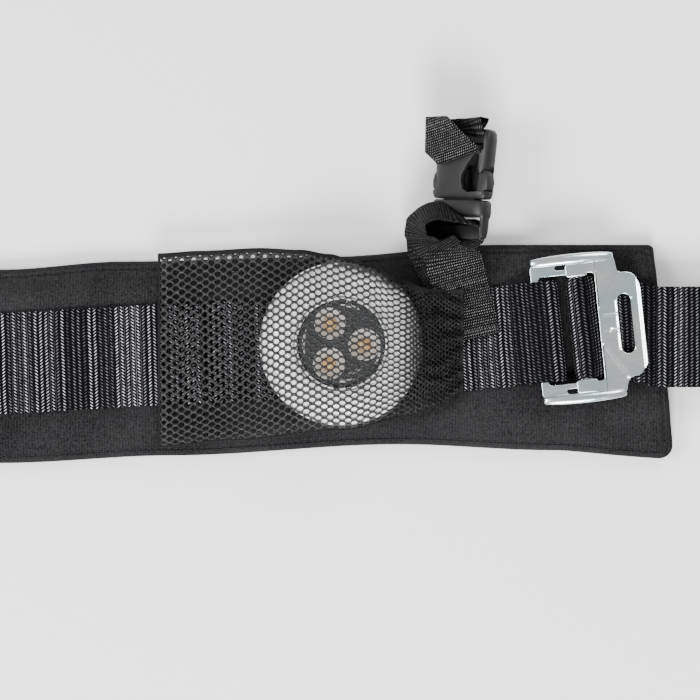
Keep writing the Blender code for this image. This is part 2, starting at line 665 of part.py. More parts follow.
def build_lamp_cap(mats, lamp):
    """The pressed cap: rim, lens and the reflector with a cup over each LED."""
    rim = [(19.3, 18.2), (22.4, 18.2), (22.4, 19.0), (20.3, 19.0), (20.3, 22.6), (19.9, 23.1), (19.3, 23.1)]
    turned("lamp_cap_rim", rim, mats["white"], lamp, 48, closed=True)
    turned("lamp_lens", [(0, 21.3), (18.9, 20.9), (18.9, 22.3), (12, 22.9), (0, 23.3)], mats["lens"], lamp, 40)
    disc = [(0, 19.4), (18.9, 19.4), (18.9, 20.4), (0, 20.4)]
    plate = turned("lamp_reflector", disc, mats["mirror"], lamp, 40)
    for i, a in enumerate(LED_ANGLES):
        place = Matrix.Translation((LED_CIRCLE * math.cos(a), LED_CIRCLE * math.sin(a), 0))
        cup = lathe(in_metres([(0, 16.5), (3.9, 16.5), (7.7, 19.9), (0, 19.9)]), 20)
        bmesh.ops.transform(cup, matrix=place, verts=cup.verts)
        boolean(plate, cutter(f"cup_shape_{i}", cup, lamp), "UNION")
    for i, a in enumerate(LED_ANGLES):
        place = Matrix.Translation((LED_CIRCLE * math.cos(a), LED_CIRCLE * math.sin(a), 0))
        hollow = lathe(in_metres([(0, 15.9), (3.0, 15.9), (3.0, 16.6), (7.0, 20.6), (0, 20.6)]), 20)
        bmesh.ops.transform(hollow, matrix=place, verts=hollow.verts)
        boolean(plate, cutter(f"cup_hollow_{i}", hollow, lamp))


# ---------------------------------------------------------------- the clip and its straps


def clip_frame():
    turn = Matrix.Rotation(CLIP_YAW, 4, "Z") @ Matrix.Rotation(CLIP_ROLL, 4, "Y")
    return Matrix.Translation(CLIP_AT) @ turn


def strap_solid(frames, width, thickness):
    """A strap through (middle, side vector, up vector) stations."""
    sections = []
    for at, side, up in frames:
        s, u = side.normalized() * width / 2, up.normalized() * thickness / 2
        sections.append([at - s - u, at + s - u, at + s + u, at - s + u])
    return loft(sections)


def loop_stations(edge_a, direction, half_gap, n=8):
    """A strap's bend round the edge of a clip bar, in the clip's frame, as points and outward vectors."""
    centre = Vector((0, edge_a - direction * 0.5 * MM, 0))
    stations = []
    for k in range(n + 1):
        t = math.pi / 2 - math.pi * k / n
        away = Vector((0, direction * math.cos(t), math.sin(t)))
        stations.append((centre + away * half_gap, away))
    return stations


def build_strap_base(webbing):
    top = PLY_ONE + WEB_T / 2
    ply = top + 1.5 * GAP + STRAP_T / 2
    frames = []
    for back in (25.4, 13, 1):
        at = FLAP_HINGE - STRAP_WAY * back * MM
        frames.append((Vector((at.x, at.y, ply)), STRAP_SIDE, Vector((0, 0, 1))))
    add("clip_strap_base", strap_solid(frames, STRAP_W, STRAP_T), webbing)
    return ply


def build_clip_strap(webbing, ply):
    """The free part: over the pad's edge, round the plug's bar and back beneath itself."""
    clip = clip_frame()
    turn = clip.to_3x3()
    flat_side, flat_up = STRAP_SIDE, Vector((0, 0, 1))
    clip_side, clip_up = turn @ Vector((1, 0, 0)), turn @ flat_up
    half_gap = 1.5 * MM + GAP + STRAP_T / 2
    bend = loop_stations(BAR_EDGE_A, 1, half_gap)
    upper_end = clip @ Vector((0, BAR_EDGE_A - 5.4 * MM, half_gap + 1.0 * MM))
    lower_end = clip @ Vector((0, BAR_EDGE_A - 5.4 * MM, -half_gap - 1.0 * MM))
    start = FLAP_HINGE + STRAP_WAY * 1.0 * MM + Vector((0, 0, ply))
    finish = start - Vector((0, 0, STRAP_T + 2 * GAP))

    def crossing(a, b, sign):
        frames = []
        for k in range(7):
            t = k / 7
            s = t * t * (3 - 2 * t)
            side = flat_side.lerp(clip_side, s)
            up = flat_up.lerp(clip_up, s) * sign
            hump = Vector((0, 0, FLAP_HUMP * math.sin(math.pi * t)))
            frames.append((a.lerp(b, t) + hump, side, up))
        return frames

    frames = crossing(start, upper_end, 1)
    frames.append((upper_end, clip_side, clip_up))
    frames += [(clip @ p, clip_side, turn @ away) for p, away in bend]
    frames.append((lower_end, clip_side, -clip_up))
    frames += list(reversed(crossing(finish, lower_end, -1)))
    add("clip_strap_flap", strap_solid(frames, STRAP_W, STRAP_T), webbing)


def build_clip(plastic, webbing):
    clip = empty("clip_place", CLIP_AT, clip_frame().to_3x3().to_4x4())
    w, t = CLIP_HALF_W, CLIP_HALF_T
    build_plug(plastic, clip, w, t)
    build_socket(plastic, clip, w, t)
    build_pull_loop(webbing)


def build_plug(plastic, clip, w, t):
    """The plug: a collar, a bar for the strap, a guide tongue, and a prong each side."""
    low, high = -22.6 * MM, -6.4 * MM
    block = box((-w + 1 * MM, low, -t + 0.6 * MM), (w - 1 * MM, high, t - 0.6 * MM))
    plug = add("clip_plug", block, plastic, clip)
    reach = 12 * MM
    slot = box((-13.1 * MM, BAR_EDGE_A, -reach), (13.1 * MM, BAR_EDGE_A + 3.9 * MM, reach))
    boolean(plug, cutter("plug_slot", slot, clip))
    for i, (c0, c1) in enumerate(((1.5, 9), (-9, -1.5))):
        relief = box((-13.1 * MM, low - 1 * MM, c0 * MM), (13.1 * MM, BAR_EDGE_A + 3 * MM, c1 * MM))
        boolean(plug, cutter(f"plug_relief_{i}", relief, clip))
    tongue = box((-3 * MM, high - 1 * MM, -1.2 * MM), (3 * MM, 7 * MM, 1.2 * MM))
    boolean(plug, cutter("tongue_shape", tongue, clip), "UNION")
    for name, side in (("left", -1), ("right", 1)):
        outline = [(9.2, -6.0), (12.4, -6.0), (12.6, -2.6), (15.9, -1.6), (15.9, 2.9), (13.1, 4.9)]
        outline += [(12.6, 7.2), (10.2, 7.2), (9.6, 2)]
        points = [(side * b * MM, a * MM) for b, a in outline]
        hinge = empty(f"prong_hinge_{name}", (side * 10.8 * MM, -6.2 * MM, 0), parent=clip)
        bm = prism(points, -2.1 * MM, 2.1 * MM)
        bmesh.ops.translate(bm, verts=bm.verts, vec=(-side * 10.8 * MM, 6.2 * MM, 0))
        add(f"clip_prong_{name}", bm, plastic, hinge)


def build_socket(plastic, clip, w, t):
    """The socket: a flat sleeve with a window in each side, and a strap slot at its end."""
    outline = [(w - 0.6 * MM, -5.9 * MM), (w, -4 * MM), (w - 0.9 * MM, 3 * MM), (w - 0.3 * MM, 10 * MM)]
    outline += [(w, 18 * MM), (w, 22.6 * MM), (w - 1.8 * MM, 24.6 * MM)]
    points = outline + [(-b, a) for b, a in reversed(outline)]
    socket = add("clip_socket", prism(points, -t, t), plastic, clip)
    reach = 12 * MM
    cavity = box((-13.6 * MM, -8 * MM, -2.7 * MM), (13.6 * MM, 9 * MM, 2.7 * MM))
    boolean(socket, cutter("socket_cavity", cavity, clip))
    windows = box((-reach * 2, -2.6 * MM, -2.7 * MM), (reach * 2, 5.4 * MM, 2.7 * MM))
    boolean(socket, cutter("socket_windows", windows, clip))
    slot = box((-13.1 * MM, 15.0 * MM, -reach), (13.1 * MM, 19.4 * MM, reach))
    boolean(socket, cutter("socket_strap_slot", slot, clip))
    for i, (c0, c1) in enumerate(((1.5, 9), (-9, -1.5))):
        relief = box((-13.1 * MM, 16 * MM, c0 * MM), (13.1 * MM, 30 * MM, c1 * MM))
        boolean(socket, cutter(f"socket_relief_{i}", relief, clip))


def build_pull_loop(webbing):
    """The short strap on the socket: two plies from the top bar, ending level with each other."""
    clip = clip_frame()
    turn = clip.to_3x3()
    half_gap = 1.5 * MM + GAP + STRAP_T / 2
    bend = loop_stations(TOP_BAR_EDGE_A, -1, half_gap)
    side, up = turn @ Vector((1, 0, 0)), turn @ Vector((0, 0, 1))
    front_end = Vector((91.5 * MM, TAIL_END_Y, 21.0 * MM))
    back_end = Vector((101.0 * MM, TAIL_END_Y, 11.5 * MM))
    first = clip @ Vector((0, TOP_BAR_EDGE_A + 5.4 * MM, half_gap + 0.5 * MM))
    last = clip @ Vector((0, TOP_BAR_EDGE_A + 5.4 * MM, -half_gap - 0.5 * MM))
    frames = [(front_end, side, up), (front_end.lerp(first, 0.5), side, up), (first, side, up)]
    frames += [(clip @ p, side, turn @ away) for p, away in bend]
    frames += [(last, side, -up), (back_end.lerp(last, 0.5), side, -up), (back_end, side, -up)]
    add("clip_pull_loop", strap_solid(frames, STRAP_W - 0.5 * MM, STRAP_T), webbing)


def main():
    clear_scene()
    cloth = material("pad_cloth", (0.02, 0.02, 0.024), 0.9)
    lining = material("pad_lining", (0.03, 0.03, 0.033), 0.9)
    foam = material("foam", (0.12, 0.12, 0.12), 0.95)
    webbing = material("webbing", (0.035, 0.035, 0.04), 0.8)
    mesh_cloth = material("mesh", (0.02, 0.02, 0.022), 0.85)
    plastic = material("clip_plastic", (0.015, 0.015, 0.016), 0.45)
    steel = material("zinc_steel", (0.75, 0.8, 0.8), 0.25, 1.0)
    bar_steel = material("bar_steel", (0.6, 0.62, 0.62), 0.35, 1.0)
    lamp_mats = {
        "white": material("lamp_white", (0.82, 0.83, 0.83), 0.25),
        "rubber": material("rubber", (0.02, 0.02, 0.02), 0.7),
        "cell": material("cell_sleeve", (0.25, 0.26, 0.3), 0.4),
        "metal": material("plated_metal", (0.7, 0.7, 0.7), 0.3, 1.0),
        "board": material("board", (0.03, 0.16, 0.07), 0.5),
        "led": material("led", (0.95, 0.75, 0.3), 0.2),
        "black": material("black_plastic", (0.03, 0.03, 0.03), 0.5),
        "lens": material("lens", (0.8, 0.82, 0.85), 0.08),
        "mirror": material("reflector", (0.8, 0.8, 0.8), 0.12, 1.0),
    }
    build_pad(cloth, lining, foam)
    build_webbing(webbing)
    build_adjuster(steel, bar_steel)
    build_pocket(mesh_cloth, webbing)
    build_lamp(lamp_mats)
    ply = build_strap_base(webbing)
    build_clip_strap(webbing, ply)
    build_clip(plastic, webbing)


main()
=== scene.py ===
"""The looks of a padded waist belt with a steel adjuster, a lamp in a mesh pocket and a clip strap.

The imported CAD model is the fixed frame. X runs along the belt, Y across the pad, Z up, in metres.
"""

import math

import bmesh
import bpy
import numpy as np
from mathutils import Matrix, Vector, noise


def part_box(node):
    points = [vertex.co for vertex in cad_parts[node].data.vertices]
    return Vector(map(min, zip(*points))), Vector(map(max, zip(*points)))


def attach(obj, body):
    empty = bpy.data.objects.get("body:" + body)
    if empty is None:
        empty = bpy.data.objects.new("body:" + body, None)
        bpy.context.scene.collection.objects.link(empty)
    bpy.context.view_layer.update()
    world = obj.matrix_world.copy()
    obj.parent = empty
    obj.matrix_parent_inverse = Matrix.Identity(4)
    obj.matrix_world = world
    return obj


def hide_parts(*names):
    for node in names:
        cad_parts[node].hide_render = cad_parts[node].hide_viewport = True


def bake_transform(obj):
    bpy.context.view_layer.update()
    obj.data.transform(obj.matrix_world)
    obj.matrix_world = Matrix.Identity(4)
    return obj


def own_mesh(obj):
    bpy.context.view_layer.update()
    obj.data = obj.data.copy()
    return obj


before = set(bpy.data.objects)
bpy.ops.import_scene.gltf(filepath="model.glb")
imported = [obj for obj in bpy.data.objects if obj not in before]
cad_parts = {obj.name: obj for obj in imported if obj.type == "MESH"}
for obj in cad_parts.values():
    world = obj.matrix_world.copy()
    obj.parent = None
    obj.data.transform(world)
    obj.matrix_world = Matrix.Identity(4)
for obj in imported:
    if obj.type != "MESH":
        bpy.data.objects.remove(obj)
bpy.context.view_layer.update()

MM = 0.001

# The webbing, its two plies' heights and the lines that it follows.
WEB_W, WEB_T = 45 * MM, 1.9 * MM
RIB = 2.4 * MM
GAP = 0.35 * MM
FLOOR_PLY = WEB_T / 2
PAD_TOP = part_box("pad_front_cover")[1].z
PLY_ONE = PAD_TOP + GAP + WEB_T / 2
PLY_TWO = PLY_ONE + WEB_T + GAP
TURNS = [(-265, 1.7), (60, 1.9), (112, 3.5), (130, 6), (162, 6), (184, 0), (300, 0)]
TOP_RUN = [(-265, -36.9), (-105.6, -32.7), (-37.6, -28.7), (60, -25), (112, -21.4), (128, -19.35)]
RETURN_RUN = [(-265, -36.9), (265, -20.7)]
BELT_END = 265
FOLD_TOP = 11.0
SEAM_X = 226

# The adjuster's own frame: the fixed bar's middle, u along the belt, v along the bar, w up.
ADJ_AT = Vector((139.3, -18.16, 17.4)) * MM
ADJ_YAW = math.radians(6)
BAR_R, SLIDER_R, SLIDER_U = 2.3, 3.0, 13.5

# The pad: how far it arches over the webbing, and the share of its thickness at the rolled edge.
PAD_RISE = 2.3 * MM
PAD_THICK = PAD_TOP - PAD_RISE
EDGE_RISE = 0.42
PAD_LEFT, PAD_RIGHT, PAD_LEAN, PAD_SPAN = -214.4 * MM, 185.6 * MM, 9.5 * MM, 96 * MM
PAD_EDGE_TOP = [(-214.4, 8.0), (-105.6, 9.5), (-52, 13.1), (40, 15.2), (117, 20.6), (185.6, 20.6)]
PAD_EDGE_LOW = [(-214.4, -78.0), (-105.6, -77.1), (-30, -73.7), (72, -68.7), (140, -71.4), (185.6, -75.2)]

# The lamp stands on the webbing. Its profiles are in millimetres above its foot.
LAMP_LOW, LAMP_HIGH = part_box("lamp_bezel")
LAMP_AT = (LAMP_LOW + LAMP_HIGH) / 2
LAMP_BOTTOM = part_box("lamp_base")[0].z
LAMP_FOOT = Vector((LAMP_AT.x, LAMP_AT.y, LAMP_BOTTOM))
REFLECTOR_TOP = 20.2

# The clip's own frame: b across, a along towards the pull loop, c out of its face. A cutter that
# reaches THROUGH millimetres from the middle goes right through.
STRAP_W, STRAP_T = 25 * MM, 1.5 * MM
SMALL_RIB = 1.2 * MM
THROUGH = 9
CLIP_AT = Vector((100.2, 46.4, 16.4)) * MM
CLIP = (
    Matrix.Translation(CLIP_AT)
    @ Matrix.Rotation(math.radians(-4), 4, "Z")
    @ Matrix.Rotation(math.radians(-42), 4, "Y")
)


# ---------------------------------------------------------------- small tools


def between(x, points):
    """The value at x of a line through (x, value) points, both in millimetres, x in metres."""
    xs, values = zip(*points)
    return float(np.interp(x / MM, xs, values))


def eased(x, points):
    """The value in metres at x of a smooth curve through (x, value) points in millimetres."""
    x = x / MM
    for (x0, v0), (x1, v1) in zip(points, points[1:]):
        if x <= x1:
            break
    return (v0 + (v1 - v0) * smooth_step((x - x0) / (x1 - x0))) * MM


def smooth_step(t):
    t = max(0.0, min(1.0, t))
    return t * t * (3 - 2 * t)


def wobble(x, y, size, seed=0.0):
    """Soft noise from -1 to 1 that changes over about that size."""
    return noise.noise(Vector((x / size, y / size, seed)))


def rounded(x0, y0, x1, y1, r, n=6):
    """The outline of a rectangle with round corners, anticlockwise."""
    points = []
    corners = [(x1 - r, y1 - r, 0), (x0 + r, y1 - r, 90), (x0 + r, y0 + r, 180), (x1 - r, y0 + r, 270)]
    for cx, cy, start in corners:
        for i in range(n + 1):
            a = math.radians(start + 90 * i / n)
            points.append((cx + r * math.cos(a), cy + r * math.sin(a)))
    return points


def piece(name, mesh, body, mat, smooth=50):
    """A shown piece that rides on a CAD body."""
    mesh.materials.clear()
    mesh.materials.append(mat)
    mesh.shade_smooth()
    if smooth:
        mesh.set_sharp_from_angle(angle=math.radians(smooth))
    o = bpy.data.objects.new(name, mesh)
    bpy.context.collection.objects.link(o)
    if body:
        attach(o, body)
    return o


def mesh_of(name, verts, faces):
    mesh = bpy.data.meshes.new(name)
    mesh.from_pydata([tuple(v) for v in verts], [], faces)
    mesh.validate()
    return mesh


def bridged(count, n, first=0):
    """The four-sided faces between rings of n vertices, numbered from first."""
    faces = []
    for i in range(count - 1):
        a, b = first + i * n, first + (i + 1) * n
        for k in range(n):
            m = (k + 1) % n
            faces.append((a + k, a + m, b + m, b + k))
    return faces


def from_bm(name, bm):
    bmesh.ops.recalc_face_normals(bm, faces=bm.faces)
    mesh = bpy.data.meshes.new(name)
    bm.to_mesh(mesh)
    bm.free()
    return mesh


def ring_mesh(name, rings, along=None, across=None):
    """A closed skin through equal rings of points. along and across give it a UV map in metres."""
    n = len(rings[0])
    count = len(rings)
    faces = bridged(count, n)
    faces.append(tuple(reversed(range(n))))
    faces.append(tuple((count - 1) * n + k for k in range(n)))
    mesh = mesh_of(name, [p for ring in rings for p in ring], faces)
    if along is not None:
        layer = mesh.uv_layers.new(name="UVMap")
        index = np.zeros(len(mesh.loops), int)
        mesh.loops.foreach_get("vertex_index", index)
        uv = np.stack([np.repeat(along, n)[index], np.tile(across, count)[index]], axis=1)
        layer.data.foreach_set("uv", uv.ravel())
    bm = bmesh.new()
    bm.from_mesh(mesh)
    bmesh.ops.recalc_face_normals(bm, faces=bm.faces)
    bm.to_mesh(mesh)
    bm.free()
    return mesh


def circle(n):
    """Turns that divide a full circle evenly."""
    return [2 * math.pi * k / n for k in range(n)]


def lathe_mesh(name, profile, steps=96, closed=False, centre=None):
    """A solid turned about Z from (r, z) points in millimetres above centre."""
    centre = centre or LAMP_FOOT
    bm = bmesh.new()
    rings = []
    for r, z in profile:
        if r < 1e-9:
            rings.append([bm.verts.new(centre + Vector((0, 0, z * MM)))])
            continue
        ring = [Vector((r * math.cos(a), r * math.sin(a), z)) for a in circle(steps)]
        rings.append([bm.verts.new(centre + p * MM) for p in ring])
    pairs = list(zip(rings, rings[1:]))
    if closed:
        pairs.append((rings[-1], rings[0]))
    for a, b in pairs:
        for i in range(steps):
            j = (i + 1) % steps
            corners = [a[i % len(a)], a[j % len(a)], b[j % len(b)], b[i % len(b)]]
            bm.faces.new(list(dict.fromkeys(corners)))
    return from_bm(name, bm)


def rounded_profile(points, radius, n):
    """A closed profile whose corners are rounded by up to that radius."""
    out = []
    for i, p in enumerate(points):
        p0, p1, p2 = Vector(points[i - 1]), Vector(p), Vector(points[(i + 1) % len(points)])
        r = min(radius, (p0 - p1).length * 0.45, (p2 - p1).length * 0.45)
        a, b = p1 + (p0 - p1).normalized() * r, p1 + (p2 - p1).normalized() * r
        for k in range(n + 1):
            t = k / n
            q = a * (1 - t) ** 2 + p1 * 2 * t * (1 - t) + b * t**2
            out.append((q.x, q.y))
    return out


def smooth_line(points, step):
    """Points about step apart on a centripetal Catmull-Rom curve through the given points."""
    points = [Vector(p) for p in points]
    padded = [2 * points[0] - points[1], *points, 2 * points[-1] - points[-2]]
    line = []
    for a, b, c, d in zip(padded, padded[1:], padded[2:], padded[3:]):
        k1 = (b - a).length ** 0.5
        k2 = k1 + (c - b).length ** 0.5
        k3 = k2 + (d - c).length ** 0.5
        n = max(1, round((c - b).length / step))
        for i in range(n):
            t = k1 + (k2 - k1) * i / n
            ab, bc, cd = a.lerp(b, t / k1), b.lerp(c, (t - k1) / (k2 - k1)), c.lerp(d, (t - k2) / (k3 - k2))
            abc, bcd = ab.lerp(bc, t / k2), bc.lerp(cd, (t - k1) / (k3 - k1))
            line.append(abc.lerp(bcd, (t - k1) / (k2 - k1)))
    return [*line, points[-1]]


def arc(cx, cz, r, start, end, n):
    turns = [math.radians(start + (end - start) * i / n) for i in range(n + 1)]
    return [(cx + r * math.cos(a), cz + r * math.sin(a)) for a in turns]


def even_line(points, step):
    """The same line with points evenly step apart, and each point's distance along it."""
    p = np.array([tuple(q) for q in points])
    along = np.concatenate([[0], np.cumsum(np.linalg.norm(np.diff(p, axis=0), axis=1))])
    at = np.linspace(0, along[-1], max(2, round(along[-1] / step) + 1))
    return np.stack([np.interp(at, along, p[:, k]) for k in range(p.shape[1])], axis=1), at


# ---------------------------------------------------------------- materials


class Wire:
    """A number that runs through a shader. Arithmetic on it adds the node that works it out."""

    def __init__(self, shader, socket):
        self.shader = shader
        self.socket = socket

    def __add__(self, other):
        return self.shader.math("ADD", self, other)

    def __sub__(self, other):
        return self.shader.math("SUBTRACT", self, other)

    def __rsub__(self, other):
        return self.shader.math("SUBTRACT", other, self)

    def __mul__(self, other):
        return self.shader.math("MULTIPLY", self, other)

    def __truediv__(self, other):
        return self.shader.math("DIVIDE", self, other)

    def __pow__(self, other):
        return self.shader.math("POWER", self, other)

    def __gt__(self, other):
        return self.shader.math("GREATER_THAN", self, other)

    def __abs__(self):
        return self.shader.math("ABSOLUTE", self)

    def fract(self):
        return self.shader.math("FRACT", self)

    def held(self, low, high):
        """The value, kept between two limits."""
        return self.shader.math("MINIMUM", self.shader.math("MAXIMUM", self, low), high)

    def scatter(self):
        """A steady random number from 0 to 1 for each whole part."""
        sine = self.shader.math("SINE", self.shader.math("FLOOR", self) * 12.9898)
        return (sine * 437.58).fract()

    def zigzag(self, width):
        """Up from 0 to 1 over the width, down over the next, and so on."""
        return self.shader.math("PINGPONG", self, width) / width


class Shader:
    """A material and short calls that wire its nodes."""

    def __init__(self, name, colour, roughness, metallic=0.0):
        self.mat = bpy.data.materials.new(name)
        self.mat.use_nodes = True
        self.tree = self.mat.node_tree
        self.bsdf = self.tree.nodes["Principled BSDF"]
        self.set("Base Color", (*colour, 1))
        self.set("Roughness", roughness)
        self.set("Metallic", metallic)

    def set(self, socket, value):
        self.bsdf.inputs[socket].default_value = value

    def node(self, kind, **inputs):
        """A new node with its inputs, by name, set to a number or fed by a wire."""
        n = self.tree.nodes.new(kind)
        for name, value in inputs.items():
            self.feed(value, n.inputs[name.replace("_", " ")])
        return n

    def feed(self, value, socket):
        if isinstance(value, Wire):
            self.tree.links.new(value.socket, socket)
        else:
            socket.default_value = value

    def math(self, operation, *values):
        n = self.node("ShaderNodeMath")
        n.operation = operation
        for value, socket in zip(values, n.inputs):
            self.feed(value, socket)
        return Wire(self, n.outputs[0])

    def split(self, wire):
        n = self.node("ShaderNodeSeparateXYZ", Vector=wire)
        return [Wire(self, output) for output in n.outputs]

    def uv(self):
        n = self.node("ShaderNodeUVMap")
        n.uv_map = "UVMap"
        return self.split(Wire(self, n.outputs[0]))[:2]

    def place(self):
        return Wire(self, self.node("ShaderNodeTexCoord").outputs["Object"])

    def xyz(self):
        return self.split(self.place())

    def noise(self, scale, detail=2.0, stretch=None):
        at = self.place()
        if stretch:
            at = Wire(self, self.node("ShaderNodeMapping", Vector=at, Scale=stretch).outputs[0])
        return Wire(self, self.node("ShaderNodeTexNoise", Vector=at, Scale=scale, Detail=detail).outputs["Fac"])

    def remap(self, value, start, end, low, high):
        """A straight run from low at start to high at end."""
        ends = {"From_Min": start, "From_Max": end, "To_Min": low, "To_Max": high}
        return Wire(self, self.node("ShaderNodeMapRange", Value=value, **ends).outputs[0])

    def paint(self, value, *stops):
        """Colours the base through (place, (r, g, b)) stops."""
        n = self.node("ShaderNodeValToRGB", Fac=value)
        ramp = n.color_ramp
        while len(ramp.elements) < len(stops):
            ramp.elements.new(0.5)
        for element, (place, colour) in zip(ramp.elements, stops):
            element.position = place
            element.color = (*colour, 1)
        self.tree.links.new(n.outputs[0], self.bsdf.inputs["Base Color"])

    def bump(self, height, distance, strength=1.0):
        n = self.node("ShaderNodeBump", Height=height, Distance=distance, Strength=strength)
        self.tree.links.new(n.outputs[0], self.bsdf.inputs["Normal"])

    def roughness(self, value, low, high):
        self.feed(self.remap(value, 0, 1, low, high), self.bsdf.inputs["Roughness"])

    def mirrors(self, amount):
        """How strongly the surface mirrors: low for cloth."""
        self.set("Specular IOR Level", amount)


def webbing_material(name, rib, dash, light, dark, slope=0.75, right_shade=1.0, vary=0.95):
    """Transverse ribs, each a chain of slanted pale yarns on dark ones. The argument after slope is painted
    shade: how pale the right end stays as the webbing darkens towards the right.
    """
    s = Shader(name, dark, 0.8)
    u, v = s.uv()
    turn = u / rib
    p = turn.fract() - 0.5
    pick = turn.scatter()
    lean = ((pick > 0.3) * 2.0 - 1.0) * (slope * rib / dash) * p
    q = (v / dash + pick - lean).fract() - 0.5
    yarn = (1.1 - (abs(p / 0.33) ** 2.0 + abs(q / 0.24) ** 2.0)).held(0.0, 1.0)
    side = (abs(p) * 2.0) ** 9.0 * ((pick > 0.6) * 0.4)
    shade = (pick * 7.31).fract() * vary + (0.95 - 0.8 * vary)
    worn = s.noise(700, 1) * 1.5 + 0.1
    pale = (yarn + side) * (shade * worn)
    # Painted shade: the pale yarns darken towards the belt's right, from x -30 mm to 100 mm.
    if right_shade < 1:
        pale = pale * s.remap(s.xyz()[0], -0.03, 0.1, 1.0, right_shade)
    middle = [c * 0.3 + d * 0.7 for c, d in zip(light, dark)]
    s.paint(pale, (0.06, dark), (0.45, middle), (1.0, light))
    s.bump(yarn + side, 0.3 * MM, 0.9)
    s.mirrors(0.04)
    return s.mat


def knit_material():
    """Charcoal fine knit with faint ribs across the pad."""
    dark, light = (0.0015, 0.0015, 0.0018), (0.032, 0.0315, 0.033)
    s = Shader("pad_knit", dark, 0.95)
    x, y, _ = s.xyz()
    rib = (s.noise(60, 1) * 0.0012 + x).zigzag(0.65 * MM)
    stitch = (rib * 0.0003 + y).zigzag(0.45 * MM)
    knit = stitch * 0.3 + rib * 0.45
    fuzz = s.noise(1100, 2)
    s.paint(fuzz * 0.75 + knit * 0.28 + s.noise(26, 3) * 0.42, (0.42, dark), (1.0, light))
    s.bump(knit + fuzz, 0.16 * MM, 0.8)
    s.mirrors(0.04)
    s.set("Sheen Weight", 0.015)
    s.set("Sheen Roughness", 0.5)
    s.set("Sheen Tint", (0.8, 0.8, 0.95, 1))
    return s.mat


def lining_material():
    """A plain woven back."""
    s = Shader("pad_lining", (0.012, 0.012, 0.013), 0.9)
    x, y, _ = s.xyz()
    weave = x.zigzag(0.5 * MM) * y.zigzag(0.5 * MM)
    s.paint(weave * 0.6 + s.noise(40, 2) * 0.4, (0.1, (0.006, 0.006, 0.007)), (0.9, (0.035, 0.035, 0.038)))
    s.bump(weave, 0.15 * MM, 0.6)
    s.mirrors(0.15)
    return s.mat


def thread_material(name, colour, rough=0.6):
    """Twisted sewing thread."""
    s = Shader(name, colour, rough)
    ply = s.noise(2500, 1)
    s.paint(ply, (0.3, [c * 0.4 for c in colour]), (0.7, colour))
    s.bump(ply, 0.08 * MM, 0.5)
    s.mirrors(0.08)
    return s.mat


def net_material():
    """Knitted polyester net yarn, with painted shade that darkens it towards its gathered right end."""
    s = Shader("net_yarn", (0.03, 0.03, 0.03), 0.6)
    grain = s.noise(1500, 2)
    # Painted shade: the yarn's tone falls to 0.72 between x 66 mm and 86 mm, right of the lamp.
    grain_and_shade = grain * s.remap(s.xyz()[0], 0.066, 0.086, 1.0, 0.72)
    s.paint(grain_and_shade, (0.32, (0.003, 0.003, 0.0032)), (0.72, (0.066, 0.065, 0.066)))
    s.bump(grain, 0.12 * MM, 0.8)
    s.mirrors(0.12)
    return s.mat


def steel_material():
    """Bright zinc plating: a cool tint that drifts, fine scratches and duller rubbed places."""
    tint = (0.72, 0.80, 0.81)
    s = Shader("zinc", tint, 0.22, 1.0)
    drift = s.noise(55, 3)
    warm = [t * f for t, f in zip(tint, (1.12, 1.03, 0.98))]
    cool = [t * f for t, f in zip(tint, (0.86, 1.0, 1.06))]
    s.paint(drift, (0.3, cool), (0.5, tint), (0.72, warm))
    fine = s.noise(900, 3, (0.25, 1, 1))
    s.roughness(drift * 0.5 + fine * 0.5, 0.05, 0.38)
    s.bump(s.noise(120, 2) + fine * 0.2, 0.3 * MM, 0.4)
    return s.mat


def knurl_material():
    """The sliding bar: zinc with a fine diamond knurl."""
    s = Shader("knurled_steel", (0.6, 0.65, 0.66), 0.3, 1.0)
    x, y, z = s.xyz()
    pitch = 0.5 * MM
    s.bump(((y + (x + z)).zigzag(pitch) + (y - (x + z)).zigzag(pitch)) * 0.5, 0.3 * MM, 0.8)
    s.roughness(s.noise(300, 2), 0.2, 0.45)
    return s.mat


def moulded_material(name, colour, rough, grain=0.0, coat=0.0, gloss=0.5):
    """Moulded plastic with a faint skin and small changes of gloss."""
    s = Shader(name, colour, rough)
    s.paint(s.noise(90, 2), (0.3, [c * 0.88 for c in colour]), (0.7, [min(1, c * 1.08) for c in colour]))
    s.roughness(s.noise(240, 3), rough * 0.75, min(1, rough * 1.3))
    s.bump(s.noise(1800, 2), 0.05 * MM, 0.15 + grain)
    s.set("Coat Weight", coat)
    s.mirrors(gloss)
    return s.mat


def lens_material():
    """The clear window, very slightly scuffed."""
    s = Shader("lens_clear", (0.06, 0.065, 0.07), 0.05)
    s.set("Alpha", 0.16)
    s.set("IOR", 1.6)
    s.roughness(s.noise(400, 3), 0.02, 0.12)
    return s.mat


def plated_material():
    """The nickel-plated contacts, screws and spring inside the lamp."""
    rough = 0.12
    s = Shader("plated_parts", (0.7, 0.69, 0.66), rough, 1.0)
    s.roughness(s.noise(500, 2), rough * 0.5, rough * 1.6)
    s.bump(s.noise(350, 2), 0.05 * MM, 0.3)
    return s.mat


def led_material():
    """Warm phosphor under a clear dome."""
    s = Shader("led_phosphor", (0.9, 0.62, 0.22), 0.2)
    s.paint(s.noise(700, 2), (0.3, (0.8, 0.36, 0.08)), (0.7, (0.98, 0.66, 0.25)))
    s.set("Coat Weight", 1.0)
    return s.mat


def board_material():
    """Green solder mask with faint tracks."""
    s = Shader("solder_mask", (0.02, 0.13, 0.06), 0.4)
    tracks = s.noise(260, 1, (1, 0.2, 1))
    s.paint(tracks, (0.45, (0.015, 0.1, 0.045)), (0.55, (0.04, 0.2, 0.09)))
    s.bump(tracks, 0.05 * MM, 0.4)
    return s.mat


def floor_material():
    s = Shader("studio_floor", (0.92, 0.92, 0.92), 0.6)
    s.paint(s.noise(3, 2), (0.3, (0.92, 0.92, 0.92)), (0.7, (0.93, 0.93, 0.93)))
    return s.mat


